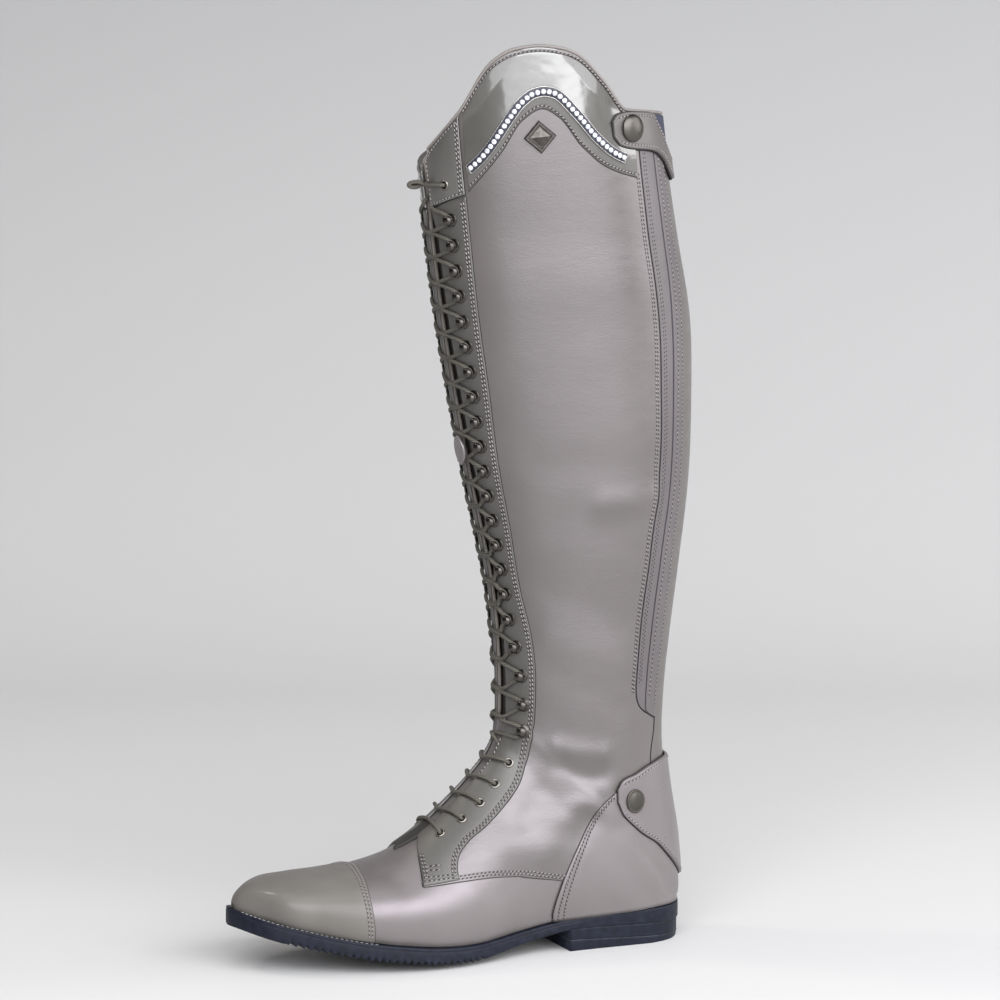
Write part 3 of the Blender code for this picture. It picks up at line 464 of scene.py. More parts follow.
def coordinates(look, stretch=(1.0, 1.0, 1.0), attribute=None):
    """Millimetre coordinates: the object's own, or a piece's flow along its cut."""
    nodes = look.node_tree.nodes
    links = look.node_tree.links
    scale = nodes.new("ShaderNodeVectorMath")
    scale.operation = "MULTIPLY"
    if attribute:
        source = nodes.new("ShaderNodeAttribute")
        source.attribute_name = attribute
        links.new(source.outputs["Vector"], scale.inputs[0])
        scale.inputs[1].default_value = stretch
    else:
        source = nodes.new("ShaderNodeTexCoord")
        links.new(source.outputs["Object"], scale.inputs[0])
        scale.inputs[1].default_value = [1000.0 * part for part in stretch]
    return scale.outputs["Vector"]


def ramp(look, factor, stops):
    """A colour ramp through (place, colour) stops."""
    node = look.node_tree.nodes.new("ShaderNodeValToRGB")
    elements = node.color_ramp.elements
    while len(elements) < len(stops):
        elements.new(0.5)
    for element, (place, colour) in zip(elements, stops):
        element.position = place
        element.color = (*colour, 1.0)
    look.node_tree.links.new(factor, node.inputs["Fac"])
    return node.outputs["Color"]


def noise(look, vector, scale, detail=3.0, roughness=0.55):
    node = look.node_tree.nodes.new("ShaderNodeTexNoise")
    node.inputs["Scale"].default_value = scale
    node.inputs["Detail"].default_value = detail
    node.inputs["Roughness"].default_value = roughness
    look.node_tree.links.new(vector, node.inputs["Vector"])
    return node.outputs["Fac"]


def cells(look, vector, scale, feature="F1"):
    node = look.node_tree.nodes.new("ShaderNodeTexVoronoi")
    node.feature = feature
    node.inputs["Scale"].default_value = scale
    look.node_tree.links.new(vector, node.inputs["Vector"])
    return node.outputs["Distance"]


def waves(look, vector, scale, direction="X"):
    node = look.node_tree.nodes.new("ShaderNodeTexWave")
    node.bands_direction = direction
    node.inputs["Scale"].default_value = scale
    look.node_tree.links.new(vector, node.inputs["Vector"])
    return node.outputs["Fac"]


def bump(look, height, depth, strength=1.0, under=None):
    """A bump of this depth in millimetres, over another one if given."""
    node = look.node_tree.nodes.new("ShaderNodeBump")
    node.inputs["Strength"].default_value = strength
    node.inputs["Distance"].default_value = depth * MM
    look.node_tree.links.new(height, node.inputs["Height"])
    if under:
        look.node_tree.links.new(under, node.inputs["Normal"])
    return node.outputs["Normal"]


def wire(look, output, socket):
    look.node_tree.links.new(output, look.node_tree.nodes["Principled BSDF"].inputs[socket])


def tint(look, factor, dark, light, low=0.3, high=0.7):
    """Colours a look from dark to light as the factor goes from low to high."""
    wire(look, ramp(look, factor, ((low, dark), (high, light))), "Base Color")


def vary(look, factor, low, high):
    """Drives the roughness between low and high."""
    node = look.node_tree.nodes.new("ShaderNodeMapRange")
    node.inputs["From Min"].default_value = 0.3
    node.inputs["From Max"].default_value = 0.7
    node.inputs["To Min"].default_value = low
    node.inputs["To Max"].default_value = high
    look.node_tree.links.new(factor, node.inputs["Value"])
    wire(look, node.outputs["Result"], "Roughness")


def leather(name, dark, light, rough, grain, depth, stretch=(1.0, 1.0, 1.0), **sockets):
    """Leather: cloudy colour, fine grain and slightly uneven gloss."""
    look = new_look(name, rough, **sockets)
    plain = coordinates(look)
    drawn = coordinates(look, stretch)
    cloud = noise(look, plain, 0.02, 3.0, 0.5)
    tint(look, cloud, dark, light)
    vary(look, noise(look, drawn, 0.12), rough - 0.05, rough + 0.05)
    soft = bump(look, noise(look, drawn, 0.1, 2.0), 0.25, 0.5)
    pores = bump(look, cells(look, drawn, grain), depth, 0.6, soft)
    wire(look, bump(look, noise(look, drawn, 2.2 * grain), depth, 0.5, pores), "Normal")
    return look


def patent_look(name, dark, light, gloss, ripple_depth, weight=1.0, index=1.5, rough=0.33):
    """Coated leather: smooth and wet, a little uneven. gloss is the roughness of the coat."""
    look = new_look(name, rough, Coat_Weight=weight, Coat_Roughness=gloss, Coat_IOR=index)
    plain = coordinates(look)
    tint(look, noise(look, plain, 0.05, 3.0), dark, light)
    vary(look, noise(look, plain, 0.2), rough - 0.05, rough + 0.05)
    ripple = bump(look, noise(look, plain, 0.055, 2.5), ripple_depth, 0.6)
    wire(look, ripple, "Normal")
    wire(look, ripple, "Coat Normal")
    return look


def metal_look(name, dark, light, rough):
    look = new_look(name, rough, 1.0)
    plain = coordinates(look)
    tint(look, noise(look, plain, 0.6), dark, light)
    vary(look, noise(look, plain, 1.4), rough - 0.06, rough + 0.08)
    wire(look, bump(look, noise(look, plain, 5.0), 0.02, 0.4), "Normal")
    return look


def rubber_look(name, dark, light, rough):
    look = new_look(name, rough, Specular_IOR_Level=0.18)
    plain = coordinates(look)
    tint(look, noise(look, plain, 0.25), dark, light)
    vary(look, noise(look, plain, 0.5), rough - 0.1, rough + 0.1)
    wire(look, bump(look, noise(look, plain, 1.3), 0.05, 0.5), "Normal")
    return look


def cord_look(name, dark, light):
    """A braided cord: two slanted sets of ribs round it."""
    look = new_look(name, 0.8)
    right = waves(look, coordinates(look, (1.0, 0.55, 0.0), "flow"), 0.55, "DIAGONAL")
    left = waves(look, coordinates(look, (-1.0, 0.55, 0.0), "flow"), 0.55, "DIAGONAL")
    # The colour is darker in the grooves of one set of ribs and lighter on their crests: painted shade
    tint(look, right, dark, light, 0.2, 0.8)
    wire(look, bump(look, left, 0.12, 0.6, bump(look, right, 0.12, 0.6)), "Normal")
    return look


def ribbed_look(name, dark, light, pitch):
    look = new_look(name, 0.75)
    ribs = waves(look, coordinates(look, (1.0, 0.0, 0.0), "flow"), 0.314 / pitch)
    # The colour is darker in the grooves between the ribs and lighter on their crests: painted shade
    tint(look, ribs, dark, light, 0.2, 0.8)
    wire(look, bump(look, ribs, 0.3, 0.8), "Normal")
    return look


def stone_look():
    look = new_look("crystal", 0.04, Coat_Weight=1.0, Coat_Roughness=0.02, IOR=1.9)
    plain = coordinates(look)
    # The stones' white-to-grey mottled base colour is painted glint: it stands in for light caught by the
    # facets
    painted_glints = ramp(look, cells(look, plain, 0.9), ((0.1, (0.78, 0.78, 0.81)), (0.8, (0.40, 0.41, 0.46))))
    wire(look, painted_glints, "Base Color")
    return look


LILAC = (1.0, 0.93, 1.0, 1.0)
LOOKS = {
    "shaft": leather("shaft leather", (0.068, 0.062, 0.055), (0.084, 0.077, 0.069), 0.36, 0.9, 0.07,
                     (0.55, 0.55, 1.5), IOR=1.7, Specular_IOR_Level=0.75, Specular_Tint=LILAC),
    # Lighter than the shaft leather: partly painted light on the foot and counter
    "vamp": leather("vamp leather with painted light", (0.092, 0.083, 0.077), (0.112, 0.102, 0.096), 0.40, 1.1, 0.04,
                    IOR=1.7, Specular_IOR_Level=0.85, Specular_Tint=(1.0, 0.92, 1.0, 1.0)),
    # Same leather as the shaft, painted darker: painted shade on the eyestays, which turn away from the light
    "panel": leather("shaded panel leather", (0.056, 0.053, 0.047), (0.070, 0.066, 0.060), 0.44, 1.1, 0.05,
                     IOR=1.6, Specular_IOR_Level=0.6),
    "strap": leather("strap leather", (0.100, 0.089, 0.087), (0.120, 0.108, 0.106), 0.32, 1.1, 0.05,
                     IOR=1.7, Specular_IOR_Level=0.8, Specular_Tint=LILAC),
    "top_strap": leather("top strap leather", (0.064, 0.058, 0.054), (0.080, 0.073, 0.068), 0.40, 1.1, 0.05,
                         IOR=1.6, Specular_IOR_Level=0.6),
    "edge": leather("bound edge", (0.16, 0.145, 0.135), (0.21, 0.19, 0.18), 0.45, 1.2, 0.05),
    # Nearly black: painted shade on the tongue, which lies in the shadow between the eyestays
    "tongue": leather("shaded tongue leather", (0.016, 0.014, 0.013), (0.026, 0.024, 0.022), 0.6, 1.0, 0.08),
    "patent": patent_look("patent leather", (0.066, 0.064, 0.057), (0.084, 0.080, 0.072), 0.12, 0.5,
                          1.0, 2.0),
    "cap": patent_look("cap leather", (0.112, 0.104, 0.094), (0.132, 0.123, 0.112), 0.16, 0.10,
                       0.16, 1.5, 0.6),
    # Darker than the cuff's patent: painted shade on the strip below the stones, with a rougher coat
    "shaded_strip": patent_look("patent strip in painted shade", (0.056, 0.052, 0.046), (0.072, 0.067, 0.060), 0.45, 0.3),
    "lining": leather("lining", (0.20, 0.18, 0.16), (0.27, 0.245, 0.22), 0.7, 1.4, 0.05),
    "rubber": rubber_look("sole rubber", (0.005, 0.0062, 0.0115), (0.0115, 0.0140, 0.0245), 0.5),
    "cord": cord_look("lace cord", (0.045, 0.041, 0.033), (0.11, 0.102, 0.085)),
    "gunmetal": metal_look("gunmetal", (0.062, 0.056, 0.052), (0.100, 0.092, 0.086), 0.26),
    "snap": metal_look("snap metal", (0.092, 0.086, 0.076), (0.102, 0.096, 0.086), 0.34),
    "nickel": metal_look("nickel", (0.42, 0.40, 0.38), (0.56, 0.54, 0.52), 0.25),
    "ring": metal_look("eyelet metal", (0.20, 0.185, 0.16), (0.30, 0.28, 0.25), 0.28),
    "thread": leather("thread", (0.20, 0.18, 0.178), (0.27, 0.245, 0.243), 0.5, 2.0, 0.05),
    "scuff": leather("scuff", (0.19, 0.17, 0.18), (0.24, 0.22, 0.23), 0.6, 2.0, 0.05),
    "scribe": rubber_look("scribed line", (0.018, 0.020, 0.028), (0.055, 0.058, 0.068), 0.6),
    "welt_thread": leather("welt thread", (0.22, 0.21, 0.21), (0.32, 0.31, 0.31), 0.6, 2.0, 0.05),
    "stone": stone_look(),
    "navy": leather("navy band", (0.010, 0.011, 0.020), (0.022, 0.024, 0.040), 0.4, 1.2, 0.05),
    "elastic": ribbed_look("navy elastic", (0.012, 0.014, 0.032), (0.05, 0.055, 0.09), 1.2),
    "stretch": leather("stretch band", (0.085, 0.075, 0.077), (0.104, 0.093, 0.096), 0.40, 1.0, 0.05),
    "zip": ribbed_look("zip tape", (0.012, 0.010, 0.014), (0.04, 0.034, 0.046), 1.4),
    # Painted shade along seams, panel edges and in needle holes
    "seam_shade": rubber_look("seam shadow", (0.010, 0.009, 0.011), (0.022, 0.019, 0.024), 0.7),
    # Painted shade under and between the stitches
    "stitch_shade": rubber_look("painted stitch shade", (0.026, 0.023, 0.023), (0.042, 0.038, 0.038), 0.7),
    # Painted shade in the eyelet holes
    "dark": rubber_look("eyelet hole shade", (0.004, 0.004, 0.004), (0.01, 0.01, 0.01), 0.8),
}

# Mesh building

# Points across and along a panel at which its width and its length are measured
MARKS_ACROSS, MARKS_ALONG = 13, 121
# Distances from a free edge at which a panel has points, so that the edge is round
EDGE_STOPS = np.array([0.0, 0.08, 0.25, 0.5, 0.85, 1.3, 1.8, 2.4, 3.0, 3.8])
# Where edges 0 to 3 lie in a panel's grid of points
RIMS = (np.s_[:, 0], np.s_[:, -1], np.s_[0, :], np.s_[-1, :])
LEAST_WIDTH, LINE_STEP = 0.5, 0.5
GROOVE_DEPTH, GROOVE_HALF = 0.16, 0.5
THREADS = {
    # pitch, length, width, height, slant, half width of the painted shade under the stitches
    "seam": (2.45, 1.95, 0.8, 0.42, 0.22, 0.5),
    "cap": (2.45, 1.95, 0.8, 0.42, 0.22, 0.3),
    "strap": (2.45, 1.95, 0.8, 0.42, 0.22, 0.35),
    "cuff": (2.3, 1.8, 0.8, 0.42, 0.22, 0.5),
    "counter": (2.1, 1.6, 0.6, 0.36, 0.3, 0.4),
    "tack": (1.2, 2.6, 0.6, 0.5, 2.4, 0.0),
    "zip_front": (2.3, 1.7, 0.65, 0.35, 0.3, 0.4),
    "zip_dark": (2.3, 1.05, 0.8, 0.14, 0.0, 0.0),
    "zip_middle": (2.6, 1.5, 0.6, 0.3, 0.3, 0.35),
    "zip_rear": (2.4, 1.3, 0.5, 0.25, 0.1, 0.3),
    "welt": (2.7, 2.0, 0.6, 0.28, 0.1, 0.0),
    "scuff": (1.6, 2.0, 0.5, 0.06, 0.1, 0.0),
}
# Rings of one stitch: place along it and size
LENS = ((-0.36, 0.8), (0.0, 1.0), (0.36, 0.8))
LENS_SIDES = 6


def add_piece(name, points, faces, look, flow, nodes=(), flat=False):
    """One object from points in millimetres and faces, riding on the boot, with its faces pointing out."""
    mesh = bpy.data.meshes.new(name)
    mesh.from_pydata(to_world(points).tolist(), [], faces)
    data = mesh.attributes.new("flow", "FLOAT_VECTOR", "POINT")
    data.data.foreach_set("vector", flow.astype(np.float32).reshape(-1))
    mesh.materials.append(LOOKS[look])
    shape = bmesh.new()
    shape.from_mesh(mesh)
    bmesh.ops.recalc_face_normals(shape, faces=shape.faces)
    if shape.calc_volume(signed=True) < 0:
        bmesh.ops.reverse_faces(shape, faces=shape.faces)
    shape.to_mesh(mesh)
    shape.free()
    if not flat:
        mesh.polygons.foreach_set("use_smooth", np.ones(len(mesh.polygons), bool))
    mesh.update()
    piece = bpy.data.objects.new(name + "_dressed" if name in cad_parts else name, mesh)
    bpy.context.scene.collection.objects.link(piece)
    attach(piece, "root")
    if nodes:
        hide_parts(*nodes)
    return piece


class Heap:
    """Points and faces of one piece, gathered bit by bit."""

    def __init__(self):
        self.points = []
        self.flow = []
        self.faces = []
        self.count = 0

    def add(self, points, faces, flow=None):
        points = np.asarray(points, float).reshape(-1, 3)
        self.points.append(points)
        self.flow.append(np.zeros_like(points) if flow is None else np.asarray(flow, float).reshape(-1, 3))
        self.faces += [tuple(int(k) + self.count for k in face) for face in faces]
        self.count += len(points)

    def join(self, other):
        self.add(np.concatenate(other.points), other.faces, np.concatenate(other.flow))

    def piece(self, name, look, slot, nodes=(), flat=False):
        points = np.concatenate(self.points)
        return add_piece(name, points, self.faces, look, np.concatenate(self.flow), nodes, flat)


# Heaps that many pieces add to: thread, the painted shade under it, and painted shade along the joints beside
# panels
STITCH = Heap()
SHADE_UNDER_STITCHES = Heap()
PAINTED_SHADE = Heap()


def grid_faces(ids):
    """Faces over a grid of point numbers, with repeated corners dropped."""
    quads = np.stack([ids[:-1, :-1], ids[1:, :-1], ids[1:, 1:], ids[:-1, 1:]], -1).reshape(-1, 4)
    faces = [list(dict.fromkeys(quad)) for quad in quads.tolist()]
    return [face for face in faces if len(face) > 2]


def add_rings(heap, rings, flow=None, closed=False):
    """A body through rings of points, capped at both ends or, where closed, joined end to end."""
    rings = np.asarray(rings, float)
    ids = np.arange(rings.shape[0] * rings.shape[1]).reshape(rings.shape[:2])
    caps = [] if closed else [ids[0].tolist(), ids[-1].tolist()]
    ids = np.concatenate([ids, ids[:, :1]], 1)
    if closed:
        ids = np.concatenate([ids, ids[:1]], 0)
    heap.add(rings, grid_faces(ids) + caps, flow)


def runs_along(line):
    """Distance of each point of a line from its start."""
    return np.concatenate([[0.0], np.cumsum(np.linalg.norm(np.diff(line, axis=0), axis=1))])


def stops(lengths, first_free, last_free, count):
    """Distances over each length: close together at a free edge, even between."""
    lengths = np.atleast_1d(np.asarray(lengths, float))[:, None]
    near = EDGE_STOPS[None, :] * np.minimum(1.0, 0.4 * lengths / EDGE_STOPS[-1])
    first = near if first_free else near[:, :1]
    final = lengths - (near if last_free else near[:, :1])[:, ::-1]
    part = np.linspace(0, 1, count + 1)[None, 1:-1]
    between = first[:, -1:] + (final[:, :1] - first[:, -1:]) * part
    return np.concatenate([first, between, final], 1)


class Panel:
    """A piece of leather cut between edge 0 (u = 0) and edge 1 (u = 1), lying on the boot.

    spot(u, v) gives its places as (station, around), free says which edges show: u = 0, u = 1, v = 0, v = 1.
    """

    def __init__(self, spot, base, top, free=(True,) * 4, rounding=0.8, place=None):
        self.place = place or (lambda u, v, lift: surface(*spot(u, v), lift))
        self.base = base
        self.top = top
        self.free = free
        self.rounding = rounding
        self.u_marks = np.linspace(0, 1, MARKS_ACROSS)
        self.v_marks = np.linspace(0, 1, MARKS_ALONG)
        points = self.place(self.u_marks[None, :], self.v_marks[:, None], top)
        self.widths = np.linalg.norm(np.diff(points, axis=1), axis=-1).sum(1)
        self.runs = np.linalg.norm(np.diff(points, axis=0), axis=-1).sum(0)
        self.length = self.runs[MARKS_ACROSS // 2]

    def width(self, v):
        return np.interp(v, self.v_marks, self.widths)

    def run(self, u):
        return np.interp(u, self.u_marks, self.runs)

    def heap(self, pitch_u, pitch_v, grooves=(), lean=None):
        """Its closed mesh: rounded top, and a plain underside. grooves are (edge, inset) of sewn rows."""
        length = self.length
        v = stops(length, self.free[2], self.free[3], max(int(length / pitch_v), 2))[0] / length
        widths = np.maximum(self.width(v), LEAST_WIDTH)
        far = stops(widths, self.free[0], self.free[1], max(int(widths.max() / pitch_u), 2))
        u = far / widths[:, None]
        v = np.repeat(v[:, None], u.shape[1], 1)
        gaps = (far, widths[:, None] - far, v * self.run(u), (1 - v) * self.run(u))
        share = np.ones_like(u)
        for gap, free in zip(gaps, self.free):
            if free:
                near = np.clip(gap / self.rounding, 0.0, 1.0)
                share = np.minimum(share, np.sqrt(np.maximum(1 - (1 - near) ** 2, 0.0)))
        rise = (self.top - self.base) * share
        for edge, inset in grooves:
            rise = rise - GROOVE_DEPTH * np.exp(-(((gaps[edge] - inset) / GROOVE_HALF) ** 2)) * (share > 0.9)
        if lean is not None:
            rise = rise + lean(u, v) * share
        over = self.place(u, v, self.base + rise)
        under = self.place(u, v, self.base)
        flow = np.stack([far, v * length, np.zeros_like(u)], -1)
        ids = np.arange(u.size).reshape(u.shape)
        low = ids + u.size
        for free, rim in zip(self.free, RIMS):
            if free:
                low[rim] = ids[rim]
        faces = grid_faces(ids) + grid_faces(low)
        for free, rim in zip(self.free, RIMS):
            if not free:
                faces += grid_faces(np.stack([ids[rim], low[rim]], 1))
        heap = Heap()
        heap.add(np.stack([over, under]), faces, np.stack([flow, flow]))
        return heap

    def row(self, edge, inset, lift=0.0, start=0.0, end=1.0):
        """A line on its face, inset from one of its edges: places and normals."""
        if edge < 2:
            v = np.linspace(start, end, max(int(self.length / LINE_STEP), 4))
            part = np.clip(inset / np.maximum(self.width(v), LEAST_WIDTH), 0.0, 1.0)
            u = part if edge == 0 else 1 - part
        else:
            u = np.linspace(start, end, max(int(self.widths.max() / LINE_STEP), 4))
            part = inset / self.run(u)
            v = part if edge == 2 else 1 - part
        line = self.place(u, v, self.top + lift)
        return line, unit(self.place(u, v, self.top + lift + 1.0) - line)


def tube(heap, line, radius, sides=10, closed=False, squash=1.0, normals=None):
    """A round rod along a line of points, squashed along the normals if they are given."""
    line = np.asarray(line, float)
    if closed:
        tangent = unit(np.roll(line, -1, 0) - np.roll(line, 1, 0))
    else:
        tangent = unit(np.gradient(line, axis=0))
    side = np.zeros_like(line)
    seed = normals[0] if normals is not None else np.array([0.0, 0.0, 1.0])
    if abs(tangent[0] @ seed) > 0.9:
        seed = np.array([1.0, 0.0, 0.0])
    for i in range(len(line)):
        if normals is not None:
            seed = normals[i]
        seed = unit(seed - tangent[i] * (seed @ tangent[i]))
        side[i] = seed
    other = np.cross(tangent, side)
    angles = 2 * np.pi * np.arange(sides) / sides
    ring = side[:, None] * (squash * np.cos(angles))[None, :, None]
    ring = ring + other[:, None] * np.sin(angles)[None, :, None]
    points = line[:, None] + ring * radius
    flow = np.zeros_like(points)
    flow[..., 0] = angles * radius
    flow[..., 1] = runs_along(line)[:, None]
    add_rings(heap, points, flow, closed)


def stitches(heap, line, normals, thread="seam"):
    """Thread along a line: one small lens a stitch, each a little slanted, over a dark ribbon of painted
    shade.
    """
    pitch, length, width, tall, slant, stitch_shade = THREADS[thread]
    # A dark ribbon under the thread: painted shade in the stitch holes and between the stitches
    if stitch_shade:
        tube(SHADE_UNDER_STITCHES, line[::3], stitch_shade, 4, squash=0.16, normals=normals[::3])
    steps = runs_along(line)
    count = int(steps[-1] / pitch)
    if count < 1:
        return

    def between(marks, values):
        return np.stack([np.interp(marks, steps, values[:, k]) for k in range(3)], -1)

    spots = (np.arange(count) + 0.5) * steps[-1] / count
    centre = between(spots, line)
    up = unit(between(spots, normals))
    along = unit(between(spots + 0.4, line) - between(spots - 0.4, line))
    across = unit(np.cross(up, along))
    along = unit(along + across * slant)
    across = unit(np.cross(up, along))
    form = [(-0.5, 0.0, 0.0)]
    for place, size in LENS:
        for angle in 2 * np.pi * np.arange(LENS_SIDES) / LENS_SIDES:
            form.append((place, 0.5 * size * math.cos(angle), size * math.sin(angle)))
    form.append((0.5, 0.0, 0.0))
    form = np.array(form) * (length, width, tall)
    points = centre[:, None] + form[None, :, :1] * along[:, None] + form[None, :, 1:2] * across[:, None]
    points = points + form[None, :, 2:] * up[:, None]
    ids = 1 + np.arange(len(LENS) * LENS_SIDES).reshape(len(LENS), LENS_SIDES)
    ids = np.concatenate([ids, ids[:, :1]], 1)
    faces = grid_faces(ids)
    for ring, tip in ((ids[0], 0), (ids[-1], len(form) - 1)):
        faces += [(tip, a, b) for a, b in zip(ring, ring[1:])]
    heap.add(points, [[n + len(form) * k for n in face] for k in range(count) for face in faces])


def sew(panel, edge, insets, start=0.0, end=1.0, thread="seam"):
    """Rows of stitches along one edge of a panel."""
    for inset in insets:
        stitches(STITCH, *panel.row(edge, inset, start=start, end=end), thread)


def shade(panel, edge, lift, radius=0.35, start=0.0, end=1.0):
    """Painted shade: a dark tube along one edge of a panel, at a lift from its face, where the edge casts its
    shadow.
    """
    tube(PAINTED_SHADE, panel.row(edge, 0.0, lift, start, end)[0][::3], radius, 6)


def spline(points, step=0.6):
    """A smooth line through points, about step apart."""
    points = np.asarray(points, float)
    guide = np.concatenate([2 * points[:1] - points[1:2], points, 2 * points[-1:] - points[-2:-1]])
    line = []
    for a, b, c, d in zip(guide, guide[1:], guide[2:], guide[3:]):
        count = max(int(np.linalg.norm(c - b) / step), 2)
        t = np.linspace(0, 1, count, endpoint=False)[:, None]
        line.append(0.5 * (2 * b + (c - a) * t + (2 * a - 5 * b + 4 * c - d) * t**2
                           + (3 * b - a - 3 * c + d) * t**3))
    line.append(points[-1:])
    return np.concatenate(line)


def seat(station, around, lift):
    """A place on the boot with its axes: up along the shaft, across, and outward."""
    spot = surface(station, around, lift)
    out = last_normal(station, around)
    along = last_point(station + 2.0, around) - last_point(station - 2.0, around)
    along = unit(along - out * (along @ out))
    return spot, along, np.cross(out, along), out


def turned(heap, profile, axes, steps=20):
    """A turned piece: (radius, height) points round the outward axis of a seat."""
    spot, along, across, out = axes
    angles = 2 * np.pi * np.arange(steps) / steps
    rings = []
    for radius, height in profile:
        ring = spot + out * height + np.cos(angles)[:, None] * along * radius
        rings.append(ring + np.sin(angles)[:, None] * across * radius)
    add_rings(heap, rings)


def throat_turn(station, back):
    return turn_at(station, THROAT_HALF + back)


# Upper

VAMP_TOP, LINING_LOW = 197.0, 200.0
# The quarter's lowest station, the station over which it leans to the collar, and the share of v up to there
QUARTER_LOW, COLLAR_FOOT, COLLAR_SHARE = 97.5, 440.0, 0.76
# How far leather stands back from the throat's edge, and how far it tucks in behind the flap, in turns
THROAT_BACK, FLAP_TUCK = 0.6, 0.01
CAP_TURN, CAP_START = 0.985, 0.02
# Distances of the sewn rows from their edges
QUARTER_ROWS, CAP_ROWS, EYESTAY_ROWS, COUNTER_ROWS = (1.6, 3.2), (1.9, 4.0), (1.6, 3.1), (1.3, 3.0)
# Where the flap's front row ends and where the row along the throat runs, in stations
FLAP_ROW_END, THROAT_ROW_START, THROAT_ROW_END = 104.0, 156.0, 185.0
# Ends of the short rows that hold the flap's corner: station, turn
FLAP_TACK = ((103.4, 0.362), (112.0, 0.410))
# How much higher the front cuff lies than the eyestay
CUFF_STEP = 0.3


def collar(side):
    return COLLAR_OUTER if side == OUTER else COLLAR_INNER


def quarter_spot(side):
    """Shaft and quarter of one side: u from the throat to the quarter seam or the centre back, v upward."""

    def spot(u, v):
        lower = QUARTER_LOW + (COLLAR_FOOT - QUARTER_LOW) * np.clip(v / COLLAR_SHARE, 0.0, 1.0)
        throat = throat_turn(np.maximum(lower, THROAT_STATION), THROAT_BACK)
        front = np.where(lower < THROAT_STATION, smooth(lower, FLAP_FRONT) + FLAP_TUCK, throat)
        rear = np.where(lower < QUARTER_SEAM[-1][0], smooth(lower, QUARTER_SEAM), 1.0)
        turn = front + (rear - front) * u
        rise = np.clip((v - COLLAR_SHARE) / (1 - COLLAR_SHARE), 0.0, 1.0)
        upper = COLLAR_FOOT + (smooth(turn, collar(side)) - COLLAR_FOOT) * rise
        return np.broadcast_arrays(np.where(v < COLLAR_SHARE, lower, upper), side * turn)

    return spot


def lining_spot(side):
    """Lining of one side of the shaft: u from the throat to the centre back, v upward."""

    def spot(u, v):
        level = np.maximum(VAMP_TOP + (COLLAR_FOOT - VAMP_TOP) * v, LINING_LOW)
        front = throat_turn(level, THROAT_BACK)
        turn = front + (1 - front) * u
        station = VAMP_TOP + (smooth(turn, collar(side)) - VAMP_TOP) * v
        return np.broadcast_arrays(station, side * turn)

    return spot


def build_upper():
    vamp = Panel(lambda u, v: np.broadcast_arrays(VAMP_TOP * v, -1 + 2 * u), -WALL, 0.0, (False,) * 4)
    vamp.heap(2.0, 2.2).piece("vamp", "vamp", "leather")
    shaft = Heap()
    lining = Heap()
    for side, pitch in ((OUTER, 2.2), (INNER, 4.0)):
        panel = Panel(quarter_spot(side), -0.12, SKIN, (True, True, True, False), 0.45)
        shaft.join(panel.heap(pitch, pitch))
        sew(panel, 1, QUARTER_ROWS, end=0.165)
        shade(panel, 1, -0.7, 0.2, end=0.17)
        lining.join(Panel(lining_spot(side), -WALL, -0.16, (False,) * 4).heap(5.0, 5.0))
    shaft.piece("shaft", "shaft", "leather", ["upper"])
    lining.piece("shaft_lining", "lining", "lining")


def build_toe_cap():
    def spot(u, v):
        turn = CAP_TURN * (2 * u - 1)
        return np.broadcast_arrays(CAP_START + (smooth(np.abs(turn), CAP_EDGE) - CAP_START) * v, turn)

    cap = Panel(spot, -0.15, CAP_TOP, (False, False, False, True), 0.9)
    heap = cap.heap(1.8, 1.6, [(3, inset) for inset in CAP_ROWS])
    heap.piece("toe_cap", "cap", "patent", ["toe_cap"])
    sew(cap, 3, CAP_ROWS, 0.03, 0.97, "cap")
    shade(cap, 3, -1.1, 0.18)


def eyestay_turn(station):
    return throat_turn(station, np.interp(station, *np.transpose(EYESTAY_BACK)))


def rails(table, side):
    """Spots between two edges given as (station, turn) pairs, one pair a row."""
    columns = np.array([(s, eyestay_turn(s) if t is None else t, *far) for s, t, *far in table], float)
    runs = runs_along(last_point(columns[:, 2], columns[:, 3]))
    marks = runs / runs[-1]
    slopes = np.gradient(columns, marks, axis=0)

    def spot(u, v):
        station, turn, far_station, far_turn = np.moveaxis(hermite(v, marks, columns, slopes), -1, 0)
        turn = np.where(station > EYESTAY_FREE, eyestay_turn(np.maximum(station, EYESTAY_FREE)), turn)
        around = side * (turn + (far_turn - turn) * u)
        return np.broadcast_arrays(station + (far_station - station) * u, around)

    return spot


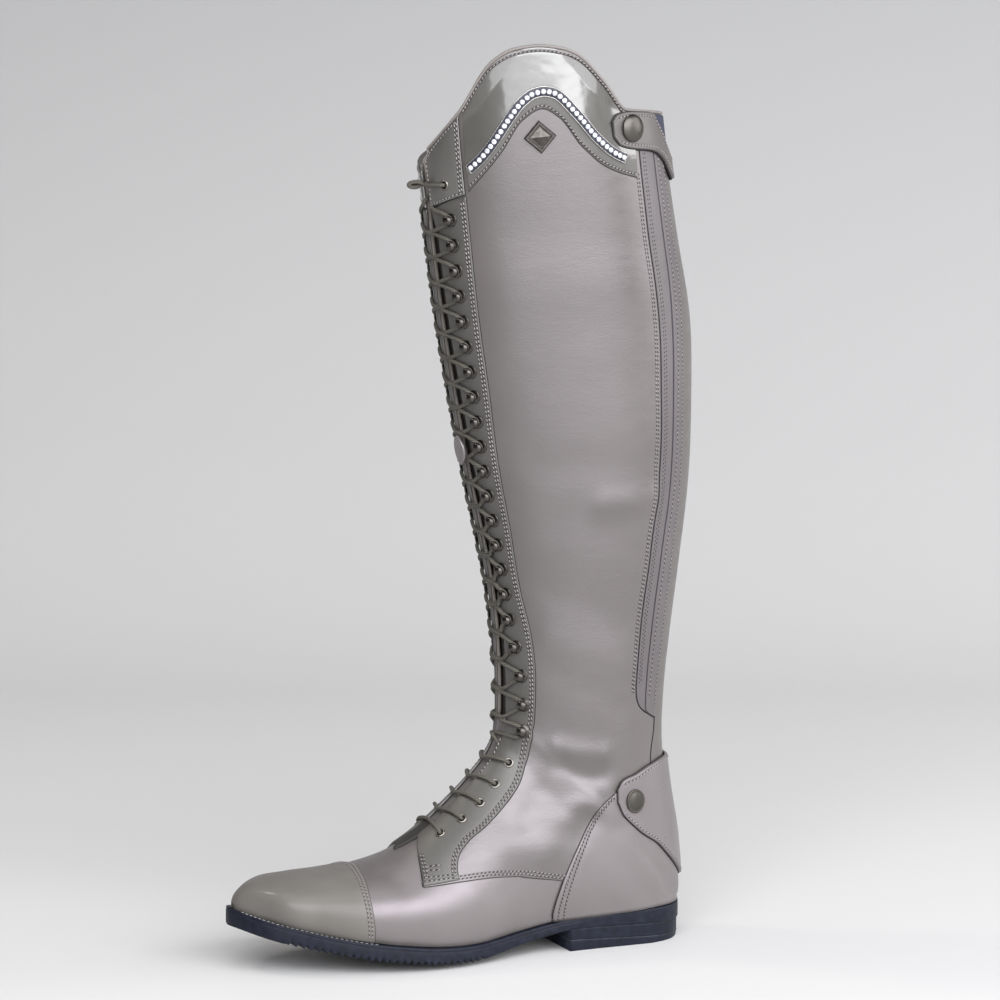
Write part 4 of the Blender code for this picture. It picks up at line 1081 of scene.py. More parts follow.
def build_eyestays():
    grooves = [(1, inset) for inset in EYESTAY_ROWS]
    for side, label, cuff_rails in ((OUTER, "outer", FRONT_CUFF_OUTER), (INNER, "inner", FRONT_CUFF_INNER)):
        spot = rails(EYESTAY_RAILS, side)
        panel = Panel(spot, 0.3, EYESTAY_TOP, (True, True, True, False), 0.9)
        heap = panel.heap(2.0, 1.6, grooves)
        # The eyestays take the darker panel leather: painted shade
        heap.piece("eyestay_" + label, "panel", "panel_leather", ["eyestay_" + label])
        ends = (FLAP_ROW_END, THROAT_ROW_START, THROAT_ROW_END)
        flap_end, throat_start, throat_end = np.interp(ends, spot(0.0, panel.v_marks)[0], panel.v_marks)
        sew(panel, 1, EYESTAY_ROWS, 0.01, 0.995)
        sew(panel, 2, EYESTAY_ROWS, 0.05, 0.96)
        sew(panel, 0, EYESTAY_ROWS, 0.008, flap_end)
        sew(panel, 0, (1.8,), throat_start, throat_end)
        for inset in EYESTAY_ROWS:
            past = (inset - EYESTAY_ROWS[0]) * np.array([-0.7, 0.02])
            station, turn = np.linspace(*np.array(FLAP_TACK) + past, 20).T
            stitches(STITCH, surface(station, side * turn, EYESTAY_TOP), last_normal(station, side * turn))
        shade(panel, 1, -0.85, 0.2)
        shade(panel, 2, -1.5, 0.32)
        shade(panel, 0, -1.4, 0.3, 0.0, flap_end)
        cuff = Panel(rails(cuff_rails, side), 0.3, EYESTAY_TOP + CUFF_STEP, rounding=0.9)
        heap = cuff.heap(1.6, 1.6, grooves)
        heap.piece("front_cuff_" + label, "patent", "patent", ["front_cuff_" + label])
        for edge, insets in ((0, (1.8,)), (1, EYESTAY_ROWS), (2, (1.6,)), (3, (2.0,))):
            sew(cuff, edge, insets, 0.05, 0.95)
        shade(cuff, 1, -0.5, 0.2)
        shade(cuff, 2, -0.3, 0.2)


def heel_tree():
    """The heel as a fine mesh to cast rays at."""
    station, around = np.meshgrid(150.0 + np.arange(100), np.linspace(0, 1, 90), indexing="ij")
    points = []
    faces = []
    for side in (OUTER, INNER):
        ids = np.arange(station.size).reshape(station.shape) + len(points)
        points += [Vector(p) for p in surface(station, side * around).reshape(-1, 3)]
        faces += grid_faces(ids)
    return BVHTree.FromPolygons(points, faces)


def build_counter():
    tree = heel_tree()
    low, high = COUNTER_BACK

    def place(u, v, lift):
        """u upward and v from the outer front edge round the back, by rays from the heel's axis."""
        u, v, lift = np.broadcast_arrays(u, v, lift)
        points = np.empty(u.shape + (3,))
        for spot in np.ndindex(u.shape):
            side = OUTER if v[spot] < 0.5 else INNER
            back = min(1.0, 2 * v[spot]) if side == OUTER else 2 - 2 * v[spot]
            front_height = float(smooth(u[spot], COUNTER_FRONT, 2))
            front_angle = math.atan2(HEEL_HALF, float(smooth(u[spot], COUNTER_FRONT, 1)) - HEEL_AXIS)
            angle = front_angle + (math.pi - NEARLY_BACK - front_angle) * back
            height = front_height + (low + (high - low) * u[spot] - front_height) * back
            direction = Vector((math.cos(angle), side * math.sin(angle), 0.0))
            start = Vector((HEEL_AXIS, 0.0, height))
            hit = None
            while hit is None:
                hit, normal, _, _ = tree.ray_cast(start, direction)
                start.z += RAY_STEP
            hit.z = height
            if normal.dot(direction) < 0:
                normal = -normal
            points[spot] = hit + normal * float(lift[spot])
        return points

    counter = Panel(None, 0.25, COUNTER_TOP, (False, True, True, True), 0.9, place)
    heap = counter.heap(2.6, 2.6, [(edge, inset) for edge in (2, 3) for inset in COUNTER_ROWS])
    heap.piece("counter", "vamp", "leather", ["counter"])
    for edge in (2, 3):
        sew(counter, edge, COUNTER_ROWS, 0.02, 0.97, "counter")
        sew(counter, edge, (2.1,), 0.14, 0.19, "tack")
        shade(counter, edge, -0.95, 0.25, 0.03)
    scuffs = Heap()
    for station, turn in SCUFFS:
        station = np.linspace(station - 0.5, station + 0.5, 8)
        turn = turn + np.linspace(0.010, -0.010, 8)
        stitches(scuffs, surface(station, turn, COUNTER_TOP + 0.02), last_normal(station, turn), "scuff")
    scuffs.piece("scuffs", "scuff", "leather")


def edge_spot(edges):
    """u from the low edge to the high edge, v along the turn. The table may run past the back."""
    first = edges[0][0]
    last = edges[-1][0]

    def spot(u, v):
        turn = first + (last - first) * v
        low = smooth(turn, edges, 1)
        high = smooth(turn, edges, 2)
        return np.broadcast_arrays(low + (high - low) * u, turn)

    return spot


def mirrored(edges):
    """A table to the centre back, carried on over the inner side."""
    return edges + tuple((2 - row[0], *row[1:]) for row in edges[-2::-1])


def build_straps():
    for name, edges, base, slot, look in (
        ("heel_strap", mirrored(HEEL_STRAP_EDGES), STRAP_BASE - 0.2, "leather", "strap"),
        ("top_strap", TOP_STRAP_EDGES, STRAP_BASE + 0.1, "patent", "top_strap"),
    ):
        strap = Panel(edge_spot(edges), base, base + STRAP_THICK, rounding=0.7)
        strap.heap(1.6, 1.4, ((0, 2.2), (1, 2.2))).piece(name, look, slot, [name])
        # Each long edge gets a row of stitches and a tube of painted shadow, widest under the low edge where
        # the strap casts its shadow
        for edge, dark in ((0, 0.55), (1, 0.2)):
            sew(strap, edge, (2.2,), 0.03, 0.97, "strap")
            shade(strap, edge, -STRAP_THICK, dark)
        shade(strap, 2, -STRAP_THICK, 0.4)

    def behind(u, v):
        first, last = ELASTIC_TURNS
        turn = first + (last - first) * v
        low = smooth(turn, TOP_STRAP_EDGES, 1) + ELASTIC_TUCK
        return np.broadcast_arrays(low + (ELASTIC_TOP - ELASTIC_FALL * v - low) * u, turn)

    elastic = Panel(behind, 0.9, 1.7, rounding=0.5)
    elastic.heap(1.5, 1.5).piece("strap_elastic", "elastic", "lining")


def build_cuff():
    first, last = CUFF_TURNS

    def spot(u, v):
        turn = first + (last - first) * v
        low = smooth(turn, CUFF_LOW)
        high = smooth(turn, COLLAR_OUTER)
        return np.broadcast_arrays(low + (high - low) * u, turn)

    def lean(u, v):
        """The cuff bulges over the band of stones and leans back to the collar."""
        station, turn = spot(u, v)
        return np.interp(station - smooth(turn, CRYSTAL_LINE), *np.transpose(CUFF_LEAN))

    cuff = Panel(spot, 0.3, CUFF_TOP, rounding=0.9)
    heap = cuff.heap(1.3, 0.9, ((0, 1.8), (1, 2.4)), lean)
    piece = heap.piece("cuff", "patent", "patent", ["cuff"])
    # Faces below the stones take the darker strip look: painted shade
    piece.data.materials.append(LOOKS["shaded_strip"])
    flow = np.concatenate(heap.flow)
    for face in piece.data.polygons:
        far, along, _ = flow[list(face.vertices)].mean(0)
        station, turn = spot(far / float(cuff.width(along / cuff.length)), along / cuff.length)
        if station < smooth(turn, CRYSTAL_LINE):
            face.material_index = 1
    shade(cuff, 0, -0.6, 0.2)
    sew(cuff, 0, (1.8,), 0.01, 0.99, "cuff")
    sew(cuff, 1, (2.4,), 0.01, 0.99, "cuff")


def build_crystals():
    """The navy band along the cuff, its thin frame, and stones in cups."""
    turns = np.linspace(*CRYSTAL_TURNS, 400)
    rows = smooth(turns, CRYSTAL_LINE)
    centre = surface(rows, turns, CUFF_TOP + 0.7)
    normal = last_normal(rows, turns)
    ahead = unit(np.gradient(centre, axis=0))
    across = unit(np.cross(normal, ahead))

    def beside(pick, part, height):
        return centre[pick] + across[pick] * part * CRYSTAL_HALF + normal[pick] * height

    pick = np.arange(0, len(turns), 3)
    profile = ((-1.0, -0.2), (-1.0, 0.35), (-0.9, 0.5), (0.0, 0.5), (0.9, 0.5), (1.0, 0.35), (1.0, -0.2))
    band = Heap()
    add_rings(band, np.stack([beside(pick, part, height) for part, height in profile], 1))
    band.piece("crystal_band", "navy", "panel_leather", ["crystal_band"])
    frame_wire = Heap()
    for part in (-1.0, 1.0):
        tube(frame_wire, beside(pick, part, STONE_LIFT), 0.26, 6)
    for end in (0, -1):
        tube(frame_wire, [beside(end, part, STONE_LIFT) for part in (-1, 0, 1)], 0.4, 6)
    frame_wire.piece("crystal_frame", "nickel", "metal")
    runs = runs_along(centre)
    count = int(runs[-1] / STONE_PITCH)
    cup = ((1.75, 0.0), (1.75, 0.4), (1.6, 0.5), (1.4, 0.3))
    facets = ((1.5, 0.3), (1.5, 0.5), (1.25, 0.95), (0.8, 1.2), (0.75, 1.2))
    stones = Heap()
    cups = Heap()
    for k in range(count):
        i = int(np.searchsorted(runs, (k + 0.5) * runs[-1] / count))
        spot = beside(i, 0.0, STONE_LIFT)
        turned(cups, cup, (spot, ahead[i], across[i], normal[i]), 14)
        angle = STONE_SPIN * k
        along = ahead[i] * math.cos(angle) + across[i] * math.sin(angle)
        aside = across[i] * math.cos(angle) - ahead[i] * math.sin(angle)
        turned(stones, facets, (spot, along, aside, normal[i]), 8)
    cups.piece("crystal_cups", "navy", "metal")
    stones.piece("crystals", "stone", "stone", flat=True)


def build_badge():
    """A plain faceted diamond stud in a rim."""
    rim = ((9.0, -0.2), (9.0, 0.9), (8.2, 1.7), (6.6, 1.7), (6.1, 1.2), (5.4, 1.2), (0.01, 3.0))
    heap = Heap()
    turned(heap, rim, seat(*BADGE, SKIN), 4)
    heap.piece("badge", "gunmetal", "metal", ["badge"], flat=True)


def build_snaps():
    dome = ((7.2, -0.4), (7.6, 0.2), (7.7, 0.7), (7.4, 1.2), (6.6, 1.8), (5.3, 2.4), (3.5, 2.85), (1.8, 3.1),
            (0.05, 3.2))
    rimmed = ((6.6, -0.4), (6.9, 0.2), (6.9, 0.7), (6.5, 1.0), (6.1, 0.85), (5.8, 0.8), (4.5, 1.25),
              (2.6, 1.55), (1.2, 1.65), (0.05, 1.7))
    top = STRAP_BASE + STRAP_THICK
    for name, spot, base, profile, narrow in (
        ("heel_snap", HEEL_SNAP, top - 0.1, rimmed, 0.84),
        ("top_snap", TOP_SNAP, top + 0.2, dome, 1.0),
    ):
        heap = Heap()
        place, along, across, out = seat(*spot, base)
        turned(heap, profile, (place, along, across * narrow, out), 36)
        heap.piece(name, "snap", "metal", [name])


def band_spot(low, high, near, far):
    """Spots between two of the zip panel's lines, each moved by some turns."""
    first = ZIP_LINES[0][0]
    last = ZIP_LINES[-1][0]

    def spot(u, v):
        station = first + (last - first) * v**1.15
        start = smooth(station, ZIP_LINES, low) + near
        end = smooth(station, ZIP_LINES, high) + far
        return np.broadcast_arrays(station, start + (end - start) * u)

    return spot


def zip_line(column, offset, low, high, lift):
    """A line beside one of the zip panel's lines, offset in turns: places and normals."""
    station = np.linspace(low, high, int((high - low) / LINE_STEP))
    around = smooth(station, ZIP_LINES, column) + offset
    return surface(station, around, lift), last_normal(station, around)


def build_zip():
    for name, low, high, near, far, base, top, look, slot in (
        ("zip_band_front", 1, 2, 0.0, -0.0035, 0.6, ZIP_TOP, "stretch", "panel_leather"),
        ("zip_band_rear", 2, 3, 0.0035, 0.0, 0.6, ZIP_TOP, "stretch", "panel_leather"),
        ("zip", 2, 2, -0.0075, 0.0075, 0.5, 0.85, "zip", "zip"),
    ):
        panel = Panel(band_spot(low, high, near, far), base, top, rounding=0.6)
        panel.heap(1.4, 1.6).piece(name, look, slot, [name])
    for heap, column, offset, low, high, lift, thread in (
        # The first two rows are dark dots of painted shade in the band's needle holes; the others are thread
        (PAINTED_SHADE, 1, 0.011, 250.0, 522.0, ZIP_TOP - 0.03, "zip_dark"),
        (PAINTED_SHADE, 1, 0.019, 251.1, 522.0, ZIP_TOP - 0.03, "zip_dark"),
        (STITCH, 2, 0.022, 248.0, 522.0, ZIP_TOP, "zip_middle"),
        (STITCH, 3, -0.008, 246.0, 522.0, ZIP_TOP, "zip_rear"),
        (STITCH, 1, -0.012, 246.0, 507.0, SKIN, "zip_front"),
        (STITCH, 1, -0.0195, 246.0, 507.0, SKIN, "zip_front"),
    ):
        stitches(heap, *zip_line(column, offset, low, high, lift), thread)
    # A tube of painted shade along the seams round the zip panel's foot and below it
    seam_shade = Heap()
    station = 526.0 - 2.0 * np.arange(138)
    outline = list(zip(station, smooth(station, ZIP_LINES, 1) - 0.001))
    for places in (outline + list(ZIP_FOOT), ZIP_TAIL):
        places = spline([(station, 100.0 * turn, 0.0) for station, turn in places])
        tube(seam_shade, surface(places[:, 0], places[:, 1] / 100.0, SKIN - 0.02), 0.42, 6)
    seam_shade.piece("zip_seam_shade", "seam_shade", "panel_leather")


# Lacing

# Lift of each strand where it crosses, by the side it starts on
STRAND_LIFTS = ((OUTER, 1.4), (INNER, 3.6))
# Where a strand comes up, its first crossing, and where it ends at the top: station, distance aside, lift
STRAND_START, FIRST_CROSSING = (181.0, 7.0, -0.6), 186.5
STRAND_ENDS = ((487.0, 6.8, EYESTAY_TOP + 1.0), (492.0, 4.0, -0.4))
# A bar from its eyelet towards the middle: share of the way, rise over the eyestay
BAR_STEPS, BAR_MIDDLE = ((0.0, -0.9), (0.06, 0.9), (0.3, 1.6), (0.55, 1.3), (0.78, 1.2)), 0.9
# The knot's turns: points, points in one turn, shrinkage a point, reach ahead, height, half width, lift
KNOT_POINTS, KNOT_ROUND, KNOT_SHRINK = 20, 9.5, 0.03
KNOT_AHEAD, KNOT_TALL, KNOT_HALF, KNOT_LIFT = 4.4, 1.8, 3.0, 3.6
# The tongue's root, dark with painted shade: lowest station and length, and for each edge its turn, its start
# and how far it widens
ROOT_LOW, ROOT_LENGTH = 97.2, 27.0
ROOT_EDGES = ((0.068, 97.0, 14.0), (-0.12, 96.0, 8.0))
# The collar's piping: the throat's station and its stand-back there, points, radius, squash, and rise
PIPING_STATION, PIPING_BACK, PIPING_POINTS = 510.0, 0.8, 260
PIPING_RADIUS, PIPING_SQUASH, PIPING_RISE = 0.95, 1.5, 0.3
# Its run down the throat: points, and how far below the corner it ends and begins
PIPING_DROP_POINTS, PIPING_DROP, PIPING_CORNER = 12, 9.0, 0.8


def hook_station(k):
    return HOOK_FIRST + (HOOK_LAST - HOOK_FIRST) * k / (HOOK_COUNT - 1)


def hook_turn(station, side):
    return float(turn_at(station, smooth(station, HOOK_SIDES) + (INNER_HOOK if side == INNER else 0.0)))


def build_hooks():
    profile = ((3.9, -0.2), (3.9, 0.2), (3.6, 0.4), (1.0, 0.45), (0.7, 0.8), (0.7, 2.1), (2.4, 2.2),
               (2.9, 2.6), (3.05, 3.2), (2.85, 4.0), (2.2, 4.7), (1.2, 5.1), (0.05, 5.25))
    hooks = Heap()
    for side, share in ((OUTER, 1.0), (INNER, INNER_HOOK_SHARE)):
        form = [(radius, height * share) for radius, height in profile]
        for station in map(hook_station, range(HOOK_COUNT)):
            turned(hooks, form, seat(station, side * hook_turn(station, side), EYESTAY_TOP), 18)
    hooks.piece("hooks", "gunmetal", "metal")
    # Dark discs inside the rings stand in for the holes: their darkness is painted shade
    hole_shades = Heap()
    rim = ((2.9, -0.2), (2.9, 0.25), (2.6, 0.6), (2.1, 0.62), (1.75, 0.3), (1.7, -0.2))
    for side, label in ((OUTER, "outer"), (INNER, "inner")):
        for k, (station, turn) in enumerate(EYELETS):
            at = seat(station, side * turn, EYESTAY_TOP + (CUFF_STEP if k == FOOT_EYELETS else 0.0))
            ring = Heap()
            turned(ring, rim, at, 24)
            name = f"eyelet_{label}_{k + 1}"
            ring.piece(name, "ring", "metal", [name])
            turned(hole_shades, ((1.8, -0.1), (1.8, 0.12), (0.05, 0.12)), at, 18)
    hole_shades.piece("eyelet_hole_shade", "dark", "lining")


def throat_spot(side, station, aside, lift):
    """A place at a distance aside from the front middle."""
    return surface(station, side * float(turn_at(station, aside)), lift)


def lace_hook(k, side):
    """Places where a strand comes up to a hook, round its neck and away again."""
    station = hook_station(k)
    spot, _, _, out = seat(station, side * hook_turn(station, side), EYESTAY_TOP + 1.3)
    up = unit(np.array([0.0, 0.0, 1.0]) - out * out[2])
    front = side * np.cross(out, up)
    steps = ((4.6, -3.4), (1.6, -2.2), (-0.2, -1.4), (-0.9, 0.0), (-0.2, 1.4), (1.6, 2.4), (4.6, 3.8))
    return [spot + front * ahead + up * rise for ahead, rise in steps]


def lace_cross(k, side, lift):
    """The crossing above hook k, from that side to the other: over the edges of the throat and its middle."""
    low, high = (last_point(hook_station(n), hook_turn(hook_station(n), OUTER))[2] for n in (k, k + 1))
    edge = EYESTAY_TOP + 1.2
    points = []
    for part, offset, rise in ((0.43, side, edge), (0.5, 0.0, lift), (0.57, -side, edge)):
        row = np.interp(low + (high - low) * part, ROWS[:, 1], STATIONS)
        points.append(throat_spot(offset, row, LACE_SIDE, rise))
    return points


def build_lace():
    lace = Heap()
    for first, lift in STRAND_LIFTS:
        side = first
        points = [throat_spot(-side, *STRAND_START), surface(FIRST_CROSSING, 0.0, lift)]
        for k in range(HOOK_COUNT):
            points += lace_hook(k, side)
            if k < HOOK_COUNT - 1:
                points += lace_cross(k, side, lift)
            side = -side
        points += [throat_spot(-side, *end) for end in STRAND_ENDS]
        tube(lace, spline(points), LACE_RADIUS)
    for (station, turn), drop in zip(EYELETS, BAR_DROP):
        halves = []
        for side in (OUTER, INNER):
            halves.append([surface(station - drop * away, side * turn * (1 - away), EYESTAY_TOP + rise)
                           for away, rise in BAR_STEPS])
        middle = surface(station - drop, 0.0, EYESTAY_TOP + BAR_MIDDLE)
        tube(lace, spline(halves[0] + [middle] + halves[1][::-1]), LACE_RADIUS)
    lace.piece("lace", "cord", "cord", ["lace"])


def build_knot():
    """The lace's end between the top eyelets, with two turns that stand out at the front."""
    station, turn = EYELETS[FOOT_EYELETS]
    top = EYESTAY_TOP + CUFF_STEP
    ends = []
    for side in (OUTER, INNER):
        steps = ((1.0, top - 0.9), (0.95, top + 0.9), (0.7, top + 1.4), (0.42, top + 1.6))
        ends.append([surface(station, side * turn * part, lift) for part, lift in steps])
    centre = surface(station, 0.0, KNOT_LIFT)
    loop = []
    for k in range(KNOT_POINTS):
        angle = 2 * math.pi * k / KNOT_ROUND
        size = 1 - KNOT_SHRINK * k
        ahead = KNOT_AHEAD * (1 - size * math.cos(angle))
        aside = KNOT_HALF - 2 * KNOT_HALF * k / (KNOT_POINTS - 1)
        loop.append(centre + np.array([ahead, aside, KNOT_TALL * size * math.sin(angle)]))
    line = spline(ends[0] + loop + ends[1][::-1])
    heap = Heap()
    tube(heap, line, LACE_RADIUS)
    knot = heap.piece("lace_knot", "cord", "cord", ["lace_knot"])


def build_keeper():
    """The leaf-shaped tab on the tongue that the lace runs over."""
    half_width, half_length, aside = KEEPER_SIZE

    def place(u, v, lift):
        half = half_width * np.sqrt(np.maximum(1 - (2 * v - 1) ** 2, 0.0)) ** 1.5
        side = (2 * u - 1) * half + aside
        station = KEEPER_STATION - half_length + 2 * half_length * v
        around = np.sign(side) * turn_at(station, np.abs(side))
        return surface(station, around, lift + KEEPER_LIFT)

    leaf = Panel(None, 0.0, 1.5, place=place)
    leaf.heap(1.2, 1.0).piece("lace_keeper", "strap", "leather", ["lace_keeper"])


def build_tongue():
    low, high, half = TONGUE

    def spot(u, v):
        station = low + (high - low) * v
        return np.broadcast_arrays(station, (2 * u - 1) * turn_at(station, half))

    def root_spot(u, v):
        """The tongue's root on the vamp, in the throat's painted shade: it widens upward from a point."""
        station = ROOT_LOW + ROOT_LENGTH * v
        near, far = (turn * np.clip((station - start) / reach, 0.0, 1.0) for turn, start, reach in ROOT_EDGES)
        return np.broadcast_arrays(station, far + (near - far) * u)

    # Both take the tongue look, whose near-black colour is painted shade
    tongue = Panel(spot, -5.2, -3.2, rounding=1.0)
    tongue.heap(2.4, 3.0).piece("tongue", "tongue", "lining", ["tongue"])
    root = Panel(root_spot, -0.3, 1.6)
    root.heap(1.4, 1.4).piece("tongue_root", "tongue", "lining")


def build_collar_edge():
    """The piped edge round the collar and a little way down the throat, over lining and leather."""
    for side, name, look, lift in (
        (OUTER, "collar_edge", "edge", 0.35),
        # The inner piping takes the darker panel leather instead of the pale edge: painted shade on the far
        # side
        (INNER, "collar_edge_inner", "panel", 0.1),
    ):
        start = float(throat_turn(PIPING_STATION, PIPING_BACK))
        turn = np.linspace(start, 1.0, PIPING_POINTS)
        station = smooth(turn, collar(side)) + PIPING_RISE
        turn = np.concatenate([np.full(PIPING_DROP_POINTS, start), turn])
        drop = np.linspace(station[0] - PIPING_DROP, station[0] - PIPING_CORNER, PIPING_DROP_POINTS)
        station = np.concatenate([drop, station])
        roll = Heap()
        line = surface(station, side * turn, lift)
        normals = last_normal(station, side * turn)
        tube(roll, line, PIPING_RADIUS, 8, squash=PIPING_SQUASH, normals=normals)
        roll.piece(name, look, "leather")


# Sole

# The notched tread edge: pitch, depth, first and last x, and how far in the notches reach
TOOTH_PITCH, TOOTH_DEPTH, TOOTH_FIRST, TOOTH_LAST, TREAD_REACH = 3.9, 2.1, 134.0, 244.0, 9.0
WELT_STEP, WELT_START, WELT_FULL = 0.7, 60.0, 100.0
# The welt's row of stitches: first and last x, distance in from the edge, lift
WELT_ROW, WELT_INSET, WELT_LIFT = (196.0, 263.0), 1.9, 0.05


def tooth(x):
    """How far the notched tread edge is cut up at x."""
    phase = (x - TOOTH_FIRST) / TOOTH_PITCH % 1.0
    cut = np.clip(1.6 * (1 - np.abs(2 * phase - 1)) - 0.3, 0.0, 1.0) * TOOTH_DEPTH
    return np.where((x > TOOTH_FIRST) & (x < TOOTH_LAST), cut, 0.0)


def both_sides(x, middle, outline):
    """Rings over x through (offset, height) points on the outer side and their mirror images."""
    right = [np.stack([x, middle + y, z], -1) for y, z in outline]
    left = [np.stack([x, middle - y, z], -1) for y, z in outline[-2::-1]]
    return np.stack(right + left, 1)


def build_outsole():
    ends = (np.linspace(0.05, 3.0, 12), np.linspace(262.2, 267.95, 26))
    x = np.concatenate([ends[0], np.arange(3.6, 262.0, 0.55), ends[1]])
    middle, half = sole_edge(x)
    top = feather(x)
    low = edge_bottom(x)
    cut = tooth(x)
    deep = np.minimum(TREAD_REACH, 0.5 * half)
    flat = smooth(x, SOLE_HEIGHT, 3)
    welt = WELT_STEP * np.clip((x - WELT_START) / (WELT_FULL - WELT_START), 0.0, 1.0)
    sole = Heap()
    add_rings(sole, both_sides(x, middle, (
        (np.maximum(half - 9.0, 0.3 * half), top),
        (np.maximum(half - 0.4 - welt, 0.4 * half), top),
        (np.maximum(half - 0.1 - welt, 0.45 * half), top - 0.3),
        (np.maximum(half - welt, 0.45 * half), top - 1.7),
        (np.maximum(half - 1.1 * welt, 0.45 * half), top - 1.95),
        (np.maximum(half - 0.2 * welt, 0.5 * half), top - 2.2),
        (half, top - 2.6),
        (half, low + 1.0 + cut),
        (half, low + 0.35 + cut),
        (np.maximum(half - 0.3, 0.5 * half), low + cut),
        (half - 0.5 * deep, low + cut),
        (half - deep, low),
        (0.45 * half, flat),
        (0.0 * half, flat),
    )))
    sole.piece("outsole", "rubber", "rubber", ["outsole"])
    thread = Heap()
    x = np.linspace(*WELT_ROW, 220)
    middle, half = sole_edge(x, WELT_INSET)
    for side in (OUTER, INNER):
        line = np.stack([x, middle + side * half, feather(x) + WELT_LIFT], -1)
        stitches(thread, line, np.tile((0.0, 0.0, 1.0), (len(x), 1)), "welt")
    thread.piece("welt_stitches", "welt_thread", "rubber")


def heel_layer(x):
    """Height of the joint between the heel and its top piece."""
    return 2.8 + 3.4 * x / BREAST


def heel_ring(inset, height):
    """A ring round the heel, moved in by inset, at a height that is a function of x."""
    x = inset + (BREAST - inset) * np.linspace(0, 1, 70) ** 1.8
    middle, half = sole_edge(x, inset)
    outer = np.stack([x, middle + half, height(x)], -1)
    inner = np.stack([x, middle - half, height(x)], -1)
    return np.concatenate([outer, inner[:0:-1]])


def build_heel():
    for name, levels in (
        ("heel", (
            # inset, height
            (1.1, lambda x: heel_layer(x) + FLOAT),
            (0.85, lambda x: heel_layer(x) + FLOAT + 0.15),
            (0.8, lambda x: heel_layer(x) + FLOAT + 0.6),
            (0.7, lambda x: edge_bottom(x) - 1.1),
            (0.7, lambda x: edge_bottom(x) - 0.5),
            (0.9, lambda x: edge_bottom(x) - 0.3),
        )),
        ("heel_top_piece", (
            (1.5, lambda x: 0.0 * x),
            (1.15, lambda x: 0.0 * x + 0.35),
            (1.1, lambda x: 0.0 * x + 0.9),
            (0.9, lambda x: heel_layer(x) - 0.8),
            (0.9, lambda x: heel_layer(x) - 0.2),
            (1.1, heel_layer),
        )),
    ):
        heap = Heap()
        add_rings(heap, [heel_ring(*level) for level in levels])
        heap.piece(name, "rubber", "rubber", [name])
    lines = Heap()
    for height in (lambda x: heel_layer(x) + 0.15, lambda x: edge_bottom(x) - 0.25):
        tube(lines, heel_ring(0.9, height), 0.28, 6, True)
    lines.piece("heel_lines", "scribe", "rubber")


def build_insole():
    x = np.linspace(8.0, 256.0, 90)
    middle, half = sole_edge(x, smooth(x, SOLE_EDGE, 3) + WALL + 1.9)
    low = feather(x) + FLOAT
    outline = ((1.0, 0.0), (1.0, 2.0), (0.94, 2.5), (0.6, 2.9), (0.0, 3.0))
    heap = Heap()
    add_rings(heap, both_sides(x, middle, [(half * share, low + rise) for share, rise in outline]))
    heap.piece("insole", "lining", "lining", ["insole"])


# Studio, in metres

# The floor runs away from the camera and curves up into a wall
AWAY = np.array([-0.38, -0.92])
ASIDE = np.array([0.92, -0.38])
FLOOR_NEAR, FLOOR_FAR, FLOOR_HALF, CURVE, WALL_TOP = -2.6, 0.9, 3.2, 0.9, 3.4
# Share of the way up to the shade height, which is in millimetres, and the shade there
FLOOR_SHADES = ((0.0, (0.60, 0.597, 0.592)), (0.12, (0.52, 0.518, 0.515)), (0.8, (0.20, 0.20, 0.202)))
SHADE_HEIGHT = 1400.0
LIGHTS = (
    # name, place, aim, size, power, colour
    ("wall", (0.05, 2.75, 0.40), (0.0, 0.0, 0.40), (4.6, 0.75), 26.0, (0.965, 0.975, 1.0)),
    ("sky", (0.10, 2.10, 1.54), (0.0, 0.0, -0.12), (4.6, 1.94), 160.0, (0.965, 0.975, 1.0)),
    ("top", (0.35, 0.1, 2.0), (0.1, 0.0, 0.0), (1.6, 1.2), 9.0, (0.98, 0.98, 1.0)),
    ("side", (-2.1, 0.75, 1.0), (0.0, 0.0, 0.2), (1.4, 1.6), 26.0, (1.0, 0.985, 1.0)),
    ("kicker", (0.92, -0.66, 1.5), (0.13, 0.0, 0.04), (0.20, 0.20), 4.0, (1.0, 0.92, 0.84)),
)
WORLD_COLOUR, WORLD_STRENGTH = (0.92, 0.94, 1.0, 1.0), 0.10
# The camera's tilt and turn in degrees, its lens and sensor in millimetres
CAMERA_SPOT, CAMERA_TILT, CAMERA_TURN = (0.7726, 1.9199, 0.486), 83.65, 157.5
CAMERA_LENS, CAMERA_SENSOR = 134.46, 36.0


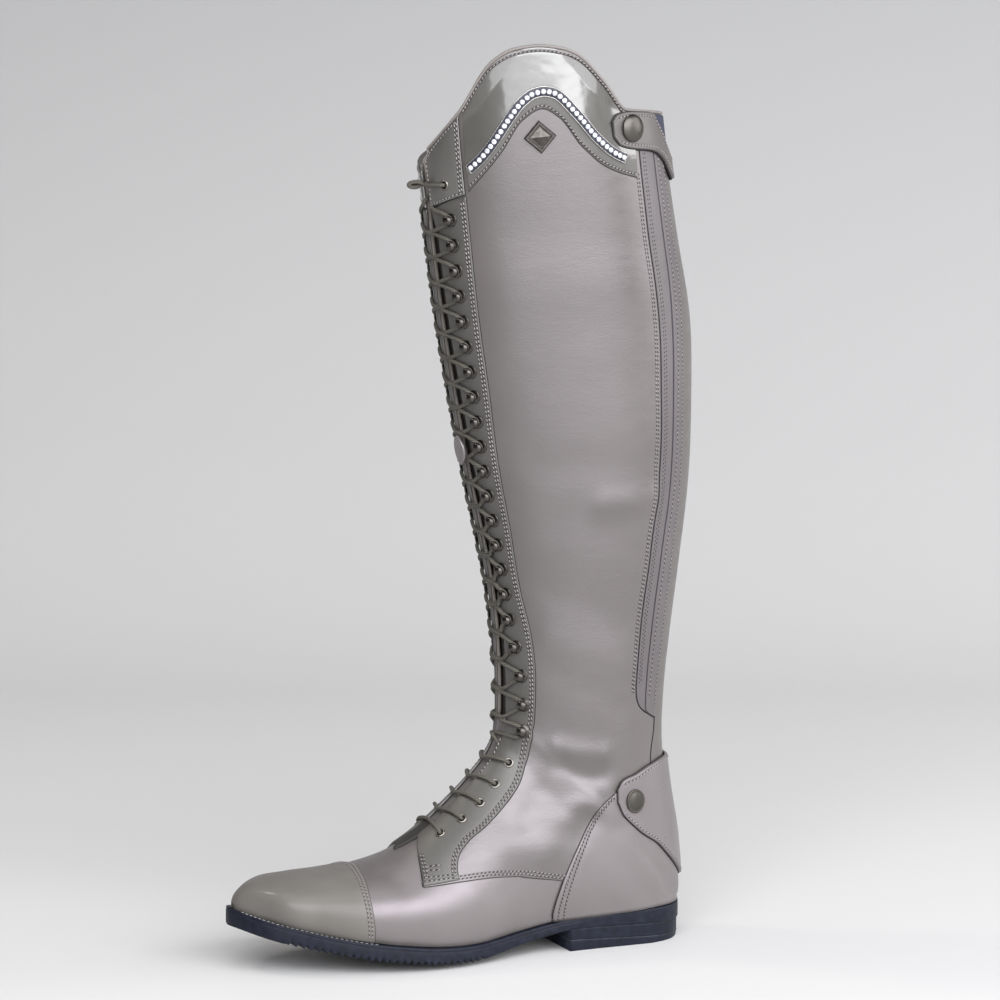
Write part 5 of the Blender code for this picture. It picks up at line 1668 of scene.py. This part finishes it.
def build_floor():
    look = new_look("studio floor", 0.6)
    nodes = look.node_tree.nodes
    apart = nodes.new("ShaderNodeSeparateXYZ")
    look.node_tree.links.new(coordinates(look), apart.inputs["Vector"])
    height = nodes.new("ShaderNodeMapRange")
    height.inputs["From Max"].default_value = SHADE_HEIGHT
    look.node_tree.links.new(apart.outputs["Z"], height.inputs["Value"])
    wire(look, ramp(look, height.outputs["Result"], FLOOR_SHADES), "Base Color")
    profile = [(FLOOR_NEAR, 0.0), (FLOOR_FAR, 0.0)]
    for k in range(1, 13):
        angle = math.pi / 2 * k / 12
        profile.append((FLOOR_FAR + CURVE * math.sin(angle), CURVE - CURVE * math.cos(angle)))
    profile.append((FLOOR_FAR + CURVE, WALL_TOP))
    points = []
    for far, height in profile:
        for side in (-FLOOR_HALF, FLOOR_HALF):
            points.append((*(AWAY * far + ASIDE * side), height))
    faces = [(2 * i, 2 * i + 1, 2 * i + 3, 2 * i + 2) for i in range(len(profile) - 1)]
    mesh = bpy.data.meshes.new("studio_floor")
    mesh.from_pydata(points, [], faces)
    mesh.materials.append(look)
    mesh.polygons.foreach_set("use_smooth", np.ones(len(faces), bool))
    floor = bpy.data.objects.new("studio_floor", mesh)
    bpy.context.scene.collection.objects.link(floor)


def build_lights():
    for name, spot, target, size, power, colour in LIGHTS:
        data = bpy.data.lights.new(name, "AREA")
        data.shape = "RECTANGLE"
        data.size, data.size_y = size
        data.energy = power
        data.color = colour
        light = bpy.data.objects.new(name, data)
        light.location = spot
        light.rotation_euler = (Vector(target) - Vector(spot)).to_track_quat("-Z", "Y").to_euler()
        bpy.context.scene.collection.objects.link(light)
    world = bpy.data.worlds.new("studio")
    world.use_nodes = True
    background = world.node_tree.nodes["Background"]
    background.inputs["Color"].default_value = WORLD_COLOUR
    background.inputs["Strength"].default_value = WORLD_STRENGTH
    bpy.context.scene.world = world


def build_camera():
    data = bpy.data.cameras.new("camera")
    data.lens = CAMERA_LENS
    data.sensor_width = CAMERA_SENSOR
    camera = bpy.data.objects.new("camera", data)
    camera.location = CAMERA_SPOT
    camera.rotation_euler = (math.radians(CAMERA_TILT), 0.0, math.radians(CAMERA_TURN))
    bpy.context.scene.collection.objects.link(camera)
    bpy.context.scene.camera = camera
    bpy.context.scene.view_settings.view_transform = "Standard"


build_upper()
build_toe_cap()
build_eyestays()
build_counter()
build_straps()
build_cuff()
build_crystals()
build_badge()
build_snaps()
build_zip()
build_hooks()
build_lace()
build_knot()
build_keeper()
build_tongue()
build_collar_edge()
build_outsole()
build_heel()
build_insole()
STITCH.piece("stitches", "thread", "leather")
# Painted shade along panel edges, seams and in the zip band's needle holes
PAINTED_SHADE.piece("painted_seam_shade", "seam_shade", "leather")
# Painted shade under the stitches
SHADE_UNDER_STITCHES.piece("painted_stitch_shade", "stitch_shade", "leather")
build_floor()
build_lights()
build_camera()
